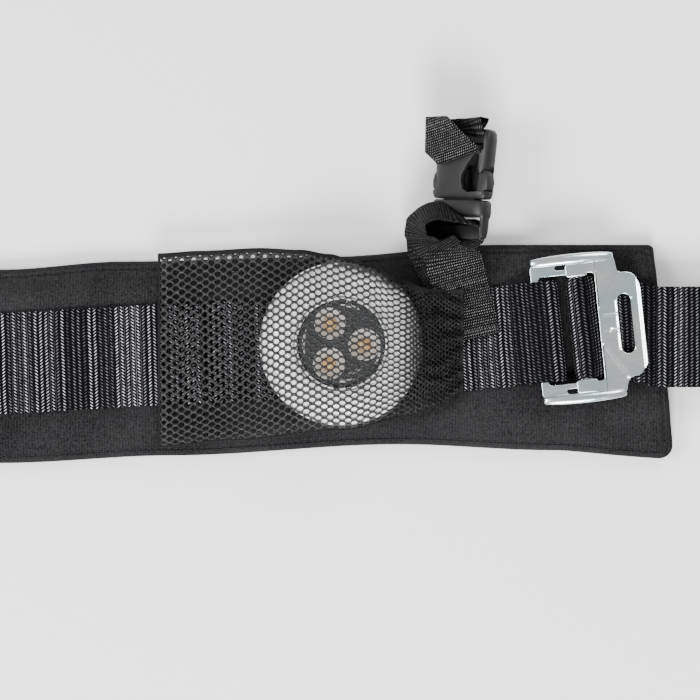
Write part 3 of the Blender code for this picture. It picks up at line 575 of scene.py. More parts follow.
def make_materials():
    pale, dark = (0.64, 0.64, 0.7), (0.0018, 0.0018, 0.0024)
    strap, strap_dark = (0.34, 0.34, 0.345), (0.002, 0.002, 0.0024)
    # The fold's colours are the strap's own, darkened as painted shade: they dress the plies that curl up, tuck
    # under and crumple behind.
    fold, fold_dark = (0.14, 0.14, 0.14), (0.006, 0.006, 0.006)
    small = (SMALL_RIB, 1.1 * MM)
    return {
        # The waist webbing's right end is darkened by painted shade to 0.88 of its paleness.
        "webbing": webbing_material("waist_webbing_weave", RIB, 1.4 * MM, pale, dark, right_shade=0.88),
        "strap": webbing_material("strap_weave", *small, strap, strap_dark, 1.0, vary=0.35),
        "strap_shaded": webbing_material("strap_shaded_weave", *small, fold, fold_dark, 1.0, vary=0.3),
        "knit": knit_material(),
        "lining": lining_material(),
        "thread": thread_material("thread_black", (0.035, 0.035, 0.038)),
        "pale_thread": thread_material("thread_worn", (0.10, 0.10, 0.105)),
        "hem": thread_material("hem_knit", (0.014, 0.014, 0.015), 0.8),
        "net": net_material(),
        "steel": steel_material(),
        "knurl": knurl_material(),
        "plastic": moulded_material("clip_nylon", (0.009, 0.009, 0.01), 0.42, 0.1, gloss=0.3),
        "white": moulded_material("lamp_silver_white", (0.80, 0.81, 0.82), 0.28, 0.0, 0.4),
        "bright": moulded_material("window_rim", (0.88, 0.89, 0.9), 0.16, 0.0, 0.8),
        "gloss_black": moulded_material("reflector_plate", (0.045, 0.047, 0.05), 0.2, 0.0, 0.6),
        "cup": moulded_material("reflector_cup", (0.9, 0.88, 0.85), 0.25, 0.0, 0.8),
        "black": moulded_material("black_moulding", (0.02, 0.02, 0.02), 0.5),
        "rubber": moulded_material("seal_rubber", (0.02, 0.02, 0.02), 0.75, 0.2),
        "cell": moulded_material("cell_sleeve", (0.2, 0.22, 0.27), 0.35, 0.0, 0.5),
        "lens": lens_material(),
        "metal": plated_material(),
        "led": led_material(),
        "board": board_material(),
    }


# ---------------------------------------------------------------- the webbing


def top_y(x):
    """The middle of the waist webbing's top run."""
    (_, right_y), (start, _) = RETURN_RUN[-1], TOP_RUN[-1]
    if x <= start * MM:
        return between(x, TOP_RUN) * MM
    past_bars = 164
    at_bar = ADJ_AT.y + math.tan(ADJ_YAW) * (min(x, past_bars * MM) - ADJ_AT.x)
    return between(x, [(past_bars, at_bar / MM), (186, right_y), (300, right_y)]) * MM


def heading(x):
    """The way that the webbing runs at x, seen from above."""
    turn = math.radians(between(x, TURNS))
    return Vector((math.cos(turn), math.sin(turn), 0))


def section(width, thickness, lift, columns=12):
    """A webbing's cross-section: (across, up) points of the top side and then of the under side."""
    half = width / 2
    edge = thickness / 2
    top = []
    for k in range(columns + 1):
        v = -half + width * k / columns
        drop = edge * 0.75 if k in (0, columns) else 0
        top.append((v, edge - drop + (lift if 0 < k < columns else lift * 0.3)))
    return top + [(v, -h) for v, h in reversed(top)]


def webbing_strip(name, path, body, mat, seed=0.0):
    """Waist webbing along (x, z) points in millimetres, with real ribs across it."""
    width, thickness, relief = WEB_W - 0.3 * MM, WEB_T - 0.15 * MM, 0.32 * MM
    line = smooth_line([(x, 0, z) for x, z in path], 3)
    even, along = even_line([(p.x * MM, p.z * MM) for p in line], RIB / 6)
    rings = []
    tangents = np.gradient(even, axis=0)
    for (x, z), (dx, dz), s in zip(even, tangents, along):
        size = math.hypot(dx, dz)
        way = heading(x)
        side = Vector((-way.y, way.x, 0))
        up = way * (-dz / size) + Vector((0, 0, dx / size))
        at = Vector((x, top_y(x), z))
        lift = relief * (abs(math.sin(math.pi * s / RIB)) ** 0.7 - 0.7)
        ring = []
        for v, h in section(width, thickness, lift):
            sway = 0.25 * MM * wobble(x, v, 18 * MM, seed)
            ring.append(at + side * v + up * (h + 0.08 * MM * wobble(x, v, 9 * MM, seed + 3)) + way * sway)
        rings.append(ring)
    across = [v for v, _ in section(width, thickness, 0)]
    return piece(name, ring_mesh(name, rings, along, across), body, mat, 60)


def belt_paths():
    """The belt's own run, and the adjusting end round the sliding bar, as (x, z) points in millimetres."""
    one, two, floor = PLY_ONE / MM, PLY_TWO / MM, FLOOR_PLY / MM
    bar_x, bar_z = ADJ_AT.x / MM, ADJ_AT.z / MM
    wrap = BAR_R + (GAP + WEB_T / 2) / MM
    fold_r = (FOLD_TOP - 2 * floor) / 2
    fold_x = BELT_END - fold_r - floor
    fold_z, fold_top = floor + fold_r, FOLD_TOP - floor + 0.2
    left_x = math.sin(math.radians(TURNS[0][1])) * WEB_W / 2 / MM - fold_x
    run = [(123, one), (129, one), (bar_x - 7, one + 0.25)] + arc(bar_x, bar_z, wrap, -90, 90, 10)
    run += [(bar_x - 7, bar_z + wrap - 1.5), (129, two + 2.5), (123.5, two + 0.5), (120, one + 1.0)]
    run += [(116, one + 0.05), (108, one), (76, one), (40, one), (0, one), (-60, one), (-120, one)]
    run += [(-180, one), (-218, one), (-238, 11.4), (left_x + 8, fold_top)]
    run += arc(left_x, fold_z, fold_r, 90, 270, 10)
    run += [(x, floor) for x in (left_x + 10, left_x + 30, -90, 90, fold_x - 30, fold_x - 10)]
    run += arc(fold_x, fold_z, fold_r, -90, 90, 10) + [(fold_x - 8, fold_top), (238, 11.2), (SEAM_X, 11.9)]
    bend = SLIDER_R + (GAP + WEB_T / 2) / MM
    slider = bar_x + SLIDER_U * math.cos(ADJ_YAW)
    end = [(SEAM_X - 0.3, 11.92), (214, one - 0.2), (196, one), (171, one), (163, one)]
    end += arc(slider, bar_z, bend, 270, 20, 12)
    end += [(slider + 5.4, 17.1), (slider + 7.2, 15.6), (slider + 9.8, two + 0.1), (172, two), (196, two)]
    end += [(214, two - 0.2), (234, two - 1.1)]
    return run, end


def make_webbing(mats):
    """The belt's own run, and the adjusting end round the sliding bar."""
    run, end = belt_paths()
    belt = webbing_strip("waist_webbing_run", run, "belt", mats["webbing"])
    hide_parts("waist_webbing")
    tail = webbing_strip("waist_webbing_adjusting_run", end, None, mats["webbing"], 5.0)
    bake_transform(tail)
    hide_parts("webbing_adjusting_end")


# ---------------------------------------------------------------- the pad


def pad_under(x, y):
    """The height of the pad's underside, arched over the webbing beneath it."""
    d = abs(y - between(x, RETURN_RUN) * MM)
    return PAD_RISE * (1 - smooth_step((d / MM - 30) / 8))


def leaned(x, y):
    """The pad's right end slants outwards towards its lower edge."""
    lean = eased(x, [(150, 0.0), (PAD_RIGHT / MM, PAD_LEAN / MM)])
    return x + lean * (PAD_EDGE_TOP[-1][1] * MM - y) / PAD_SPAN


def pad_outline(inset, step=2.0):
    """The pad's outline drawn in by inset, in metres, anticlockwise from its lower left corner."""
    left, right = PAD_LEFT + inset, PAD_RIGHT - inset
    r = max(7 * MM - inset * 0.6, 1.2 * MM)
    crisp = max(2.5 * MM - inset * 0.6, 0.8 * MM)
    runs = round(400 / step)

    def low(x):
        return eased(x, PAD_EDGE_LOW) + inset

    def top(x):
        return eased(x, PAD_EDGE_TOP) - inset

    def span(x0, x1):
        return [x0 + (x1 - x0) * i / runs for i in range(runs + 1)]

    def corner(cx, cy, r, start):
        turns = [math.radians(start + 90 * k / 8) for k in range(1, 8)]
        return [(cx + r * math.cos(a), cy + r * math.sin(a)) for a in turns]

    sides = [k / 40 for k in range(1, 40)]
    points = [(x, low(x)) for x in span(left + r, right - r)] + corner(right - r, low(right) + r, r, -90)
    y0, y1 = low(right) + r, top(right) - crisp
    points += [(right, y0 + (y1 - y0) * t) for t in sides] + corner(right - crisp, y1, crisp, 0)
    points += [(x, top(x)) for x in span(right - crisp, left + r)] + corner(left + r, top(left) - r, r, 90)
    y0, y1 = top(left) - r, low(left) + r
    points += [(left, y0 + (y1 - y0) * t) for t in sides] + corner(left + r, y1, r, 180)
    return [(leaned(x, y), y) for x, y in points]


def pad_top(x, y, d):
    """The height of the pad's face at d inside its outline: a rolled hem, a seam and a soft crown."""
    d = d / MM
    full = PAD_THICK / MM
    roll = 4.6
    h = full if d >= roll else full * (EDGE_RISE + (1 - EDGE_RISE) * math.sqrt(max(0, 1 - (1 - d / roll) ** 2)))
    hem = -1.0 * math.exp(-(((d - 3.3) / 0.55) ** 2))
    off_web = abs(y - top_y(x)) / MM - 22.5
    puff = 0.9 * smooth_step(off_web / 6) * smooth_step((d - 4) / 5)
    soft = 0.35 * wobble(x, y, 26 * MM) * smooth_step(off_web / 4) * smooth_step((d - 2) / 4)
    return pad_under(x, y) + (h + hem + puff + soft) * MM


def make_pad(mats):
    """The pad in two skins that meet at the rolled edge: the knit face and the lining."""
    insets = [0, 0.15, 0.5, 1.0, 1.6, 2.2, 2.6, 2.9, 3.15, 3.35, 3.6, 4.0, 4.6, 5.5]
    insets += [7, 9, 11.5, 14, 17, 20, 24, 28, 33, 38, 42]
    rings = []
    for inset in insets:
        points = pad_outline(inset * MM)
        rings.append([Vector((x, y, pad_top(x, y, inset * MM))) for x, y in points])
    face = skin_with_middle("pad_knit_cover", rings)
    front = piece("pad_knit_cover", face, "belt", mats["knit"], 0)
    under = []
    for inset in (0, 0.4, 1.2, 2.4, 4, 7, 12, 20, 30, 38, 42):
        points = pad_outline(inset * MM, 4.0)
        rise = PAD_THICK * EDGE_RISE * max(0, 1 - inset / 4) ** 2
        under.append([Vector((x, y, pad_under(x, y) + rise)) for x, y in points])
    lining = skin_with_middle("pad_lining_cover", under, True)
    back = piece("pad_lining_cover", lining, "belt", mats["lining"], 0)
    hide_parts("pad_front_cover", "pad_edge_binding", "pad_foam")
    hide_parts("pad_back_cover")


def skin_with_middle(name, rings, flip=False):
    """Rings that shrink to a long line, bridged, with the last one closed across its width."""
    n = len(rings[0])
    faces = bridged(len(rings), n)
    faces.append(tuple((len(rings) - 1) * n + k for k in range(n)))
    if flip:
        faces = [tuple(reversed(f)) for f in faces]
    return mesh_of(name, [p for ring in rings for p in ring], faces)


def capsule(faces, verts, start, end, up, width, height):
    """Adds one short rounded stitch between two points to a list of vertices and faces."""
    along = (end - start).normalized()
    side = along.cross(up).normalized()
    first = len(verts)
    sizes = [(0.0, 0.25), (0.22, 0.9), (0.5, 1.0), (0.78, 0.9), (1.0, 0.25)]
    for t, size in sizes:
        middle = start.lerp(end, t) + up * height * (0.55 * math.sin(math.pi * t) - 0.1)
        for a in circle(6):
            off = side * math.cos(a) * width / 2 * size + up * math.sin(a) * height / 2 * size
            verts.append(middle + off)
    faces += bridged(len(sizes), 6, first)
    faces.append(tuple(first + k for k in reversed(range(6))))
    faces.append(tuple(len(verts) - 6 + k for k in range(6)))


def stitch_rows(name, rows, pitch, mat):
    """Rows of stitches on the belt, along lines of points."""
    verts, faces = [], []
    up = Vector((0, 0, 1))
    for row in rows:
        line, _ = even_line(row, pitch)
        for a, b in zip(line, line[1:]):
            a, b = Vector(a), Vector(b)
            capsule(faces, verts, a.lerp(b, 0.1), a.lerp(b, 0.9), up, 0.45 * MM, 0.4 * MM)
    piece(name, mesh_of(name, verts, faces), "belt", mat, 0)


def make_pad_stitches(mats):
    """The hem's line of stitches, just inside the rolled edge."""
    inset = 3.3 * MM
    line = [Vector((x, y, pad_top(x, y, inset) + 0.12 * MM)) for x, y in pad_outline(inset)]
    stitch_rows("pad_hem_stitches", [[*line, line[0]]], 2.9 * MM, mats["thread"])


# ---------------------------------------------------------------- the pocket


POCKET_X0, POCKET_X1 = -35.2 * MM, 100.4 * MM
POCKET_TOP = [(-35.2, 16.2), (-16.7, 17.3), (10, 18.5), (27.8, 17.6), (41, 15.6), (50, 13.2), (58, 11.0)]
POCKET_TOP += [(71, 4.2), (86, 0.2), (100.4, 0.4)]
POCKET_LOW = [(-35.2, -69.9), (-2, -66.9), (48, -62.1), (75, -56.2), (90, -51.5), (100.4, -46.2)]
CELL_X, CELL_Y = 5.28 * MM, 3.73 * MM
GATHER_X, GATHER = 76 * MM, 0.5
NET_ROWS = 24


def belt_height(x, y):
    """The top of the pad, webbing and strap base under the pocket."""
    web = smooth_step((24 - abs(y - top_y(x)) / MM) / 3)
    d = min(y - eased(x, PAD_EDGE_LOW), eased(x, PAD_EDGE_TOP) - y)
    pad = pad_top(x, y, max(d, 0)) if d > 0 else pad_under(x, y) + PAD_THICK * EDGE_RISE
    base = max(pad, pad * (1 - web) + (PLY_ONE + WEB_T / 2 + 0.35 * MM) * web)
    on_strap = smooth_step((x / MM - 86) / 4) * smooth_step((y / MM + 25) / 3)
    return base + 2.4 * MM * on_strap


def lamp_cover_height(x, y):
    """The lamp's outer shape with the pocket's clearance over it."""
    d = math.hypot(x - LAMP_AT.x, y - LAMP_AT.y) / MM
    over = [(0, 38.0), (20, 37.8), (24, 37.2), (28, 36.1), (31, 34.9), (33.5, 33.4)]
    over += [(35.3, 31.2), (36.4, 28.4), (37.3, 25), (40, 22.6), (46, 18.9), (54, 15.6), (66, 13)]
    return float(np.interp(d, *zip(*over))) * MM


def pocket_height(x, y):
    """The middle of the net, draped over lamp and belt, with gathered folds towards its right."""
    base = belt_height(x, y) + 0.5 * MM
    tent = lamp_cover_height(x, y)
    top = max(base, tent)
    soft = 2.2 * MM
    if abs(base - tent) < soft:
        top += (soft - abs(base - tent)) ** 2 / (4 * soft)
    low, high = eased(x, POCKET_LOW), eased(x, POCKET_TOP)
    across = (y - low) / (high - low)
    right = smooth_step((x / MM - 76) / 12)
    fold = 1.3 * MM * right * (1 + math.sin(38 * across + 4.0 * wobble(x, y, 16 * MM, 4.0)))
    left = smooth_step((4 - x / MM) / 20)
    slack = 0.9 * MM * left * (1 + wobble(x, y, 13 * MM, 2.0))
    return top + fold + slack


def net_place(u, v, height):
    """Where the net's point (u, v) lies: gathered to the right, squeezed between the pocket's edges."""
    start = GATHER_X - POCKET_X0
    x = POCKET_X0 + (u if u < start else start + (u - start) * GATHER)
    y0, y1 = eased(x, POCKET_LOW), eased(x, POCKET_TOP)
    t = v / height
    t -= 0.42 * smooth_step((24 - x / MM) / 26) * t * max(0, 1 - t) ** 4
    y = y0 + t * (y1 - y0)
    calm = smooth_step(v / height / 0.08) * smooth_step((1 - v / height) / 0.08)
    calm *= smooth_step((x - POCKET_X0) / (6 * MM))
    x += 0.5 * MM * calm * wobble(u, v, 17 * MM, 7.0)
    y += 0.5 * MM * calm * wobble(u, v, 17 * MM, 11.0)
    return x, y


def openness(x, y):
    """How far a hole is open: nearly shut in the folded edges, and smaller where the net gathers."""
    top = (eased(x, POCKET_TOP) - y) / MM
    left = (x - POCKET_X0) / MM
    edge = min(smooth_step((top - 2.0) / 3.2), smooth_step((left - 1.4) / 2.6))
    gathered = 1 - 0.5 * smooth_step((x / MM - 70) / 14)
    return (0.42 + 0.58 * edge) * gathered


def make_net(mats):
    """The pocket's net as real strands: a hexagonal ring for each hole."""
    tip, shoulder, half = 1.98 * MM, 0.66 * MM, CELL_Y / 2
    corners = [(tip, 0), (shoulder, half), (-shoulder, half), (-tip, 0), (-shoulder, -half), (shoulder, -half)]
    outer = []
    for (x0, y0), (x1, y1) in zip(corners, corners[1:] + corners[:1]):
        outer += [(x0, y0), ((x0 + x1) / 2, (y0 + y1) / 2)]
    turns = [math.atan2(y, x) for x, y in outer]
    hole = [(1.4 * MM * math.cos(a), 1.2 * MM * math.sin(a)) for a in turns]
    verts, faces, shared = [], [], {}
    height, strand, same = (NET_ROWS + 0.5) * CELL_Y, 0.36 * MM, 0.05 * MM

    def vertex(u, v, lift, side):
        key = (round(u / same), round(v / same), side)
        if key not in shared:
            shared[key] = len(verts)
            x, y = net_place(u, v, height)
            verts.append((x, y, pocket_height(x, y) + lift))
        return shared[key]

    reach = GATHER_X - POCKET_X0 + (POCKET_X1 - GATHER_X) / GATHER
    for i in range(1, int(reach / (CELL_X / 2))):
        for j in range(NET_ROWS):
            cu, cv = i * CELL_X / 2, (j + 0.5 + 0.5 * (i % 2)) * CELL_Y
            rim = [(cu + a, cv + b) for a, b in outer]
            top = [vertex(u, v, strand, 1) for u, v in rim]
            low = [vertex(u, v, -strand, -1) for u, v in rim]
            wide = openness(*net_place(cu, cv, height)) * (1 + 0.07 * wobble(cu, cv, 3 * MM, 9.0))
            inner = [vertex(cu + a * wide, cv + b * wide, 0, (i, j, k)) for k, (a, b) in enumerate(hole)]
            for k in range(12):
                m = (k + 1) % 12
                faces.append((top[k], top[m], inner[m], inner[k]))
                faces.append((low[m], low[k], inner[k], inner[m]))
    bm = bmesh.new()
    bm.from_mesh(mesh_of("net", verts, faces))
    close_rim(bm, [e for e in bm.edges if e.is_boundary])
    net = piece("pocket_net", from_bm("pocket_net", bm), "belt", mats["net"], 0)
    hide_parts("pocket_mesh")
    return net


def close_rim(bm, edges):
    """Joins the net's upper and lower skins along its outside edge."""
    near = {}
    for e in edges:
        x = sum(v.co.x for v in e.verts) / 2
        y = sum(v.co.y for v in e.verts) / 2
        near.setdefault((round(x, 6), round(y, 6)), []).append(e)
    for pair in near.values():
        if len(pair) != 2:
            continue
        a, b = pair
        p, q = a.verts
        r, s = b.verts
        if (p.co.xy - r.co.xy).length > (p.co.xy - s.co.xy).length:
            r, s = s, r
        bm.faces.new((p, q, s, r))


def band(name, line, width, thickness, mat):
    """A flat tape over the belt, lying level across its line of points."""
    points, along = even_line(line, 0.8 * MM)
    rings = []
    for p, t in zip(points, np.gradient(points, axis=0)):
        way = Vector(t).normalized()
        side = way.cross(Vector((0, 0, 1))).normalized()
        up = side.cross(way).normalized()
        rings.append([Vector(p) + side * v + up * h for v, h in section(width, thickness, 0, 6)])
    across = [v for v, _ in section(width, thickness, 0, 6)]
    return piece(name, ring_mesh(name, rings, along, across), "belt", mat, 50)


def make_pocket(mats):
    """The net, its elastic hem and its three sewn edges."""
    steps = 160
    xs = [POCKET_X0 + (POCKET_X1 - POCKET_X0) * k / steps for k in range(steps + 1)]
    hem = [(x, eased(x, POCKET_TOP) - 0.8 * MM) for x in xs]
    left = [(POCKET_X0 + 0.5 * MM, y) for y in np.linspace(-69.6, 16.0, 60) * MM]
    low = [(x, eased(x, POCKET_LOW) + 0.5 * MM) for x in xs]
    right = [(POCKET_X1 - 0.9 * MM, y) for y in np.linspace(-45.8, 0.0, 60) * MM]
    shown = [make_net(mats)]
    for name, line, width, thickness, slot in (
        ("pocket_elastic_hem", hem, 2.1, 1.1, "webbing"),
        ("pocket_left_edge", left, 1.2, 0.9, "mesh"),
        ("pocket_lower_edge", low, 0.9, 0.8, "mesh"),
        ("pocket_right_edge", right, 1.5, 1.0, "mesh"),
    ):
        line = [(x, y, pocket_height(x, y)) for x, y in line]
        shown.append(band(name, line, width * MM, thickness * MM, mats["hem"]))
    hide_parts("pocket_hem")
    for o in shown:
        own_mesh(o)


# ---------------------------------------------------------------- the lamp


def make_lamp(mats):
    """The white domed ring, the window with its double rim, and what shows through it."""
    dome = [(34.3, 10.8), (35.6, 11.0), (36.0, 11.6), (36.0, 13.2), (35.5, 15.2), (34.4, 17.1), (32.6, 18.9)]
    dome += [(30.2, 20.4), (27.4, 21.5), (24.6, 22.2), (22.6, 22.5), (21.6, 22.6), (21.1, 22.5), (20.8, 22.2)]
    inner = [(20.8, 19.4), (23.2, 19.3), (26.5, 19.2), (30.2, 17.6), (33.0, 15.2), (34.2, 12.8)]
    shape = lathe_mesh("bezel", rounded_profile(dome + inner, 0.5, 2), 128, True)
    bezel = piece("lamp_bezel_dome", shape, "lamp", mats["white"])
    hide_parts("lamp_bezel")
    rim = [(19.2, 18.2), (22.2, 18.2), (22.2, 19.0), (20.3, 19.0), (20.3, 22.5), (19.85, 23.0), (19.2, 22.4)]
    shape = lathe_mesh("rim", rounded_profile(rim, 0.3, 3), 128, True)
    ring = piece("lamp_window_rim", shape, "lamp_cap", mats["bright"])
    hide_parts("lamp_cap_rim")
    lens = [(0, 21.7), (12, 21.6), (18.6, 21.2), (18.9, 21.5), (18.9, 21.9), (17.4, 22.3)]
    lens += [(12, 22.9), (6, 23.2), (0, 23.3)]
    window = piece("lamp_window", lathe_mesh("window", lens), "lamp_cap", mats["lens"])
    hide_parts("lamp_lens")
    make_reflector(mats)
    make_cups(mats)
    make_highlight_ridges(mats)
    for mat, nodes in (
        ("white", ("lamp_base", "battery_cover", "lamp_switch_button")),
        ("rubber", ("lamp_seal",)),
        ("black", ("lamp_switch",)),
        ("board", ("lamp_circuit_board",)),
        ("metal", ("lamp_return_spring", "battery_contact_upper", "battery_contact_lower")),
        ("metal", ("board_screw_1", "board_screw_2")),
        ("cell", ("battery_cell_1", "battery_cell_2", "battery_cell_3")),
        ("led", ("led_1", "led_2", "led_3")),
    ):
        for node in nodes:
            dress(node, mats[mat])


def make_reflector(mats):
    """A dark plate with a hole over each LED."""
    middles = [(sum(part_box(f"led_{i}"), Vector()) / 2 - LAMP_AT) / MM for i in (1, 2, 3)]
    turns = circle(72)
    outlines = [[(18.6 * math.cos(a), 18.6 * math.sin(a)) for a in turns]]
    outlines += [[(m.x + 6.7 * math.cos(a), m.y - 6.7 * math.sin(a)) for a in turns] for m in middles]
    bm = plate_mesh("plate", outlines, 19.3, REFLECTOR_TOP, 0.1)
    place_local(bm, lambda x, y, z: LAMP_FOOT + Vector((x, y, z)) * MM)
    top = piece("lamp_reflector_plate", from_bm("plate", bm), "lamp_cap", mats["gloss_black"])
    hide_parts("lamp_reflector")


def make_cups(mats):
    """A bright cup round each LED, open towards the window, and the LED's dome in it."""
    cup = [(3.0, 17.2), (3.4, 17.6), (4.4, 18.5), (5.5, 19.6), (6.2, 20.4), (6.6, 20.9)]
    cup += [(7.0, 20.9), (7.0, 20.2), (5.9, 19.0), (4.0, 17.0), (3.2, 16.9)]
    dome = [(0, 17.0), (2.8, 17.0), (2.9, 18.0), (2.5, 19.0), (1.4, 19.7), (0, 19.9)]
    for i in (1, 2, 3):
        low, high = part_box(f"led_{i}")
        at = (low + high) / 2
        centre = Vector((at.x, at.y, LAMP_BOTTOM))
        mesh = lathe_mesh(f"cup_{i}", cup, 48, True, centre)
        piece(f"lamp_reflector_cup_{i}", mesh, "lamp_cap", mats["cup"])
        mesh = lathe_mesh(f"dome_{i}", dome, 32, False, centre)
        piece(f"led_dome_{i}", mesh, "lamp", mats["led"])


def make_highlight_ridges(mats):
    """Pale curved ridges on the reflector's plate, as (radius, first turn, last turn): painted highlights that
    stand in for reflections in the window.
    """
    ridges = ((16.4, -100, -62), (13.6, -78, -46), (17.0, 62, 92), (16.6, 158, 196), (17.2, -30, -8))
    shape = [(-0.7, 0), (0.5, 0), (0.5, 0.9), (0.2, 1.0)]
    steps = 16
    for i, (r, start, end) in enumerate(ridges):
        rings = []
        for k in range(steps + 1):
            a = math.radians(start + (end - start) * k / steps)
            size = 0.15 + 0.85 * math.sin(math.pi * k / steps) ** 0.5
            way = Vector((math.cos(a), math.sin(a), 0))
            at = LAMP_FOOT + Vector((0, 0, REFLECTOR_TOP * MM)) + way * r * MM
            rings.append([at + way * q * size * MM + Vector((0, 0, h * size * MM)) for q, h in shape])
        mesh = ring_mesh("ridge", rings)
        # Painted highlight: the pale window-rim material makes these ridges show as the window's reflections.
        piece(f"lamp_reflector_highlight_ridge_{i + 1}", mesh, "lamp_cap", mats["bright"])


def dress(node, mat):
    """Gives a carried CAD node its finished material."""
    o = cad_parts[node]
    o.data.materials.clear()
    o.data.materials.append(mat)


# ---------------------------------------------------------------- the adjuster


def adj(u, v, w):
    """A point in the adjuster's own frame, in millimetres, in the row frame."""
    return ADJ_AT + Matrix.Rotation(ADJ_YAW, 3, "Z") @ Vector((u, v, w)) * MM


def plate_mesh(name, outlines, low, high, bevel=0.3):
    """A sheet-metal plate from an outer outline and holes, with softened edges, in a local frame."""
    curve = bpy.data.curves.new(name, "CURVE")
    curve.dimensions = "2D"
    curve.fill_mode = "BOTH"
    curve.extrude = (high - low) / 2 - bevel
    curve.bevel_depth = bevel
    curve.bevel_resolution = 2
    curve.offset = -bevel
    for points in outlines:
        spline = curve.splines.new("POLY")
        spline.points.add(len(points) - 1)
        for p, (x, y) in zip(spline.points, points):
            p.co = (x, y, 0, 1)
        spline.use_cyclic_u = True
    o = bpy.data.objects.new(name, curve)
    mesh = bpy.data.meshes.new_from_object(o)
    bpy.data.objects.remove(o)
    bpy.data.curves.remove(curve)
    bm = bmesh.new()
    bm.from_mesh(mesh)
    bmesh.ops.remove_doubles(bm, verts=bm.verts, dist=0.002)
    bmesh.ops.translate(bm, verts=bm.verts, vec=(0, 0, (low + high) / 2))
    return bm


def densify(outline, step):
    """An outline with points at most step apart."""
    out = []
    for (x0, y0), (x1, y1) in zip(outline, outline[1:] + outline[:1]):
        n = max(1, math.ceil(math.hypot(x1 - x0, y1 - y0) / step))
        out += [(x0 + (x1 - x0) * i / n, y0 + (y1 - y0) * i / n) for i in range(n)]
    return out


def make_adjuster(mats):
    """The stamped plate, its rolled rails, the fixed bar and the sliding bar with its end blocks."""
    make_adjuster_plate(mats)
    for side in (1, -1):
        make_rail(side, mats)
    bar = rod_mesh("fixed_bar", adj(0, -22.2, 0), adj(0, 22.2, 0), BAR_R * MM)
    piece("adjuster_fixed_bar", bar, "adjuster", mats["steel"])
    slider = rod_mesh("slider", adj(SLIDER_U, -23.6, 0), adj(SLIDER_U, 23.6, 0), SLIDER_R * MM)
    bar = piece("adjuster_sliding_bar", slider, "adjuster_slider", mats["knurl"])
    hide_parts("adjuster_bar")
    for side in (1, -1):
        outline = rounded(SLIDER_U - 5, 22.9, SLIDER_U + 4.2, 28.6, 0.9, 4)
        outline = [(u, side * v) for u, v in outline][::side]
        bm = plate_mesh("block", [outline], 2.05, 4.1, 0.35)
        place_local(bm, adj)
        block = from_bm("block", bm)
        piece(f"adjuster_bar_block_{side + 1}", block, "adjuster_slider", mats["steel"], 35)


def place_local(bm, to_world):
    for v in bm.verts:
        v.co = to_world(*v.co)


def tab_outline():
    """The frame's outline with its lift tab, anticlockwise, in millimetres."""
    left, right, half = -7.0, 30.8, 32.2
    tab = [(31.7, -25.2), (33.1, -23.9), (36.0, -23.2), (37.7, -22.6), (38.7, -21.4), (40.7, -18.6)]
    tab += [(41.0, -16.8), (40.9, 0), (40.9, 14.5), (40.5, 17.0), (39.1, 20.6), (37.5, 22.2)]
    tab += [(35.1, 22.8), (32.7, 22.9), (31.2, 23.8)]
    return rounded(left, -half, right, half, 5, 6) + tab


def cut_grid(bm, axis, low, high, beyond=None):
    """Cuts the plate along planes close together, so that its relief has vertices to raise."""
    at, step = low, 0.42
    while at < high:
        geom = [*bm.verts, *bm.edges, *bm.faces]
        if beyond is not None:
            faces = [f for f in bm.faces if f.calc_center_median().x > beyond]
            geom = [*{v for f in faces for v in f.verts}, *{e for f in faces for e in f.edges}, *faces]
        away = Vector((0, 0, 0))
        away[axis] = 1
        bmesh.ops.bisect_plane(bm, geom=geom, plane_co=away * at, plane_no=away)
        at += step


def make_adjuster_plate(mats):
    """The stamped plate: window for the webbing, slots, creases pressed beside the neck, and the lift tab."""
    outline = densify(tab_outline(), 1.2)
    window = densify(rounded(-3.8, -24, 21.2, 24, 1.6, 4), 1.2)[::-1]
    slot = densify(rounded(30.0, -13.2, 35.9, 13.2, 2.9, 8), 1.0)[::-1]
    small = [rounded(4.0, side * 27.4 - 1.0, 12.0, side * 27.4 + 1.0, 0.9, 3)[::-1] for side in (1, -1)]
    bm = plate_mesh("plate", [outline, window, slot, *small], 0, 1.7, 0.28)
    cut_grid(bm, 0, 21.6, 41)
    cut_grid(bm, 1, -26, 26, beyond=21.5)
    bmesh.ops.triangulate(bm, faces=bm.faces)
    for v in bm.verts:
        v.co.z += plate_relief(v.co.x, v.co.y)
    place_local(bm, adj)
    plate = piece("adjuster_plate", from_bm("plate", bm), "adjuster", mats["steel"], 40)
    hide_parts("adjuster_frame")


def near_line(p, start, end):
    """The distance from p to a line's span, and the side of the line that p is on."""
    start, end = Vector(start), Vector(end)
    way = end - start
    t = max(0, min(1, (p - start).dot(way) / way.length_squared))
    return (p - start.lerp(end, t)).length, way.x * (p.y - start.y) - way.y * (p.x - start.x)


def plate_relief(u, v):
    """How far the stamping rises: a lip round the slot, creases at the neck and a curled right lip."""
    slot = math.hypot(max(abs(u - 32.95) - 2.95, 0), max(abs(v) - 10.3, 0))
    lip = 0.6 * math.exp(-((slot / 0.9) ** 2))
    curl = 1.0 * smooth_step((u - 38.9) / 1.9)
    p = Vector((u, v))
    side = 1 if v > 0 else -1
    away, turned = near_line(p, (22.9, side * 9.3), (31.4, side * 23.2))
    neck = -0.3 * math.exp(-((away / 0.75) ** 2)) + 0.5 * smooth_step(0.5 + side * turned / 26) * (u > 22)
    for start, end in (((23.6, 4.3), (30.0, 4.5)), ((23.3, -3.2), (26.1, -2.2)), ((26.1, -2.2), (30.0, -2.8))):
        neck -= 0.22 * math.exp(-((near_line(p, start, end)[0] / 0.7) ** 2))
    return lip + curl + neck


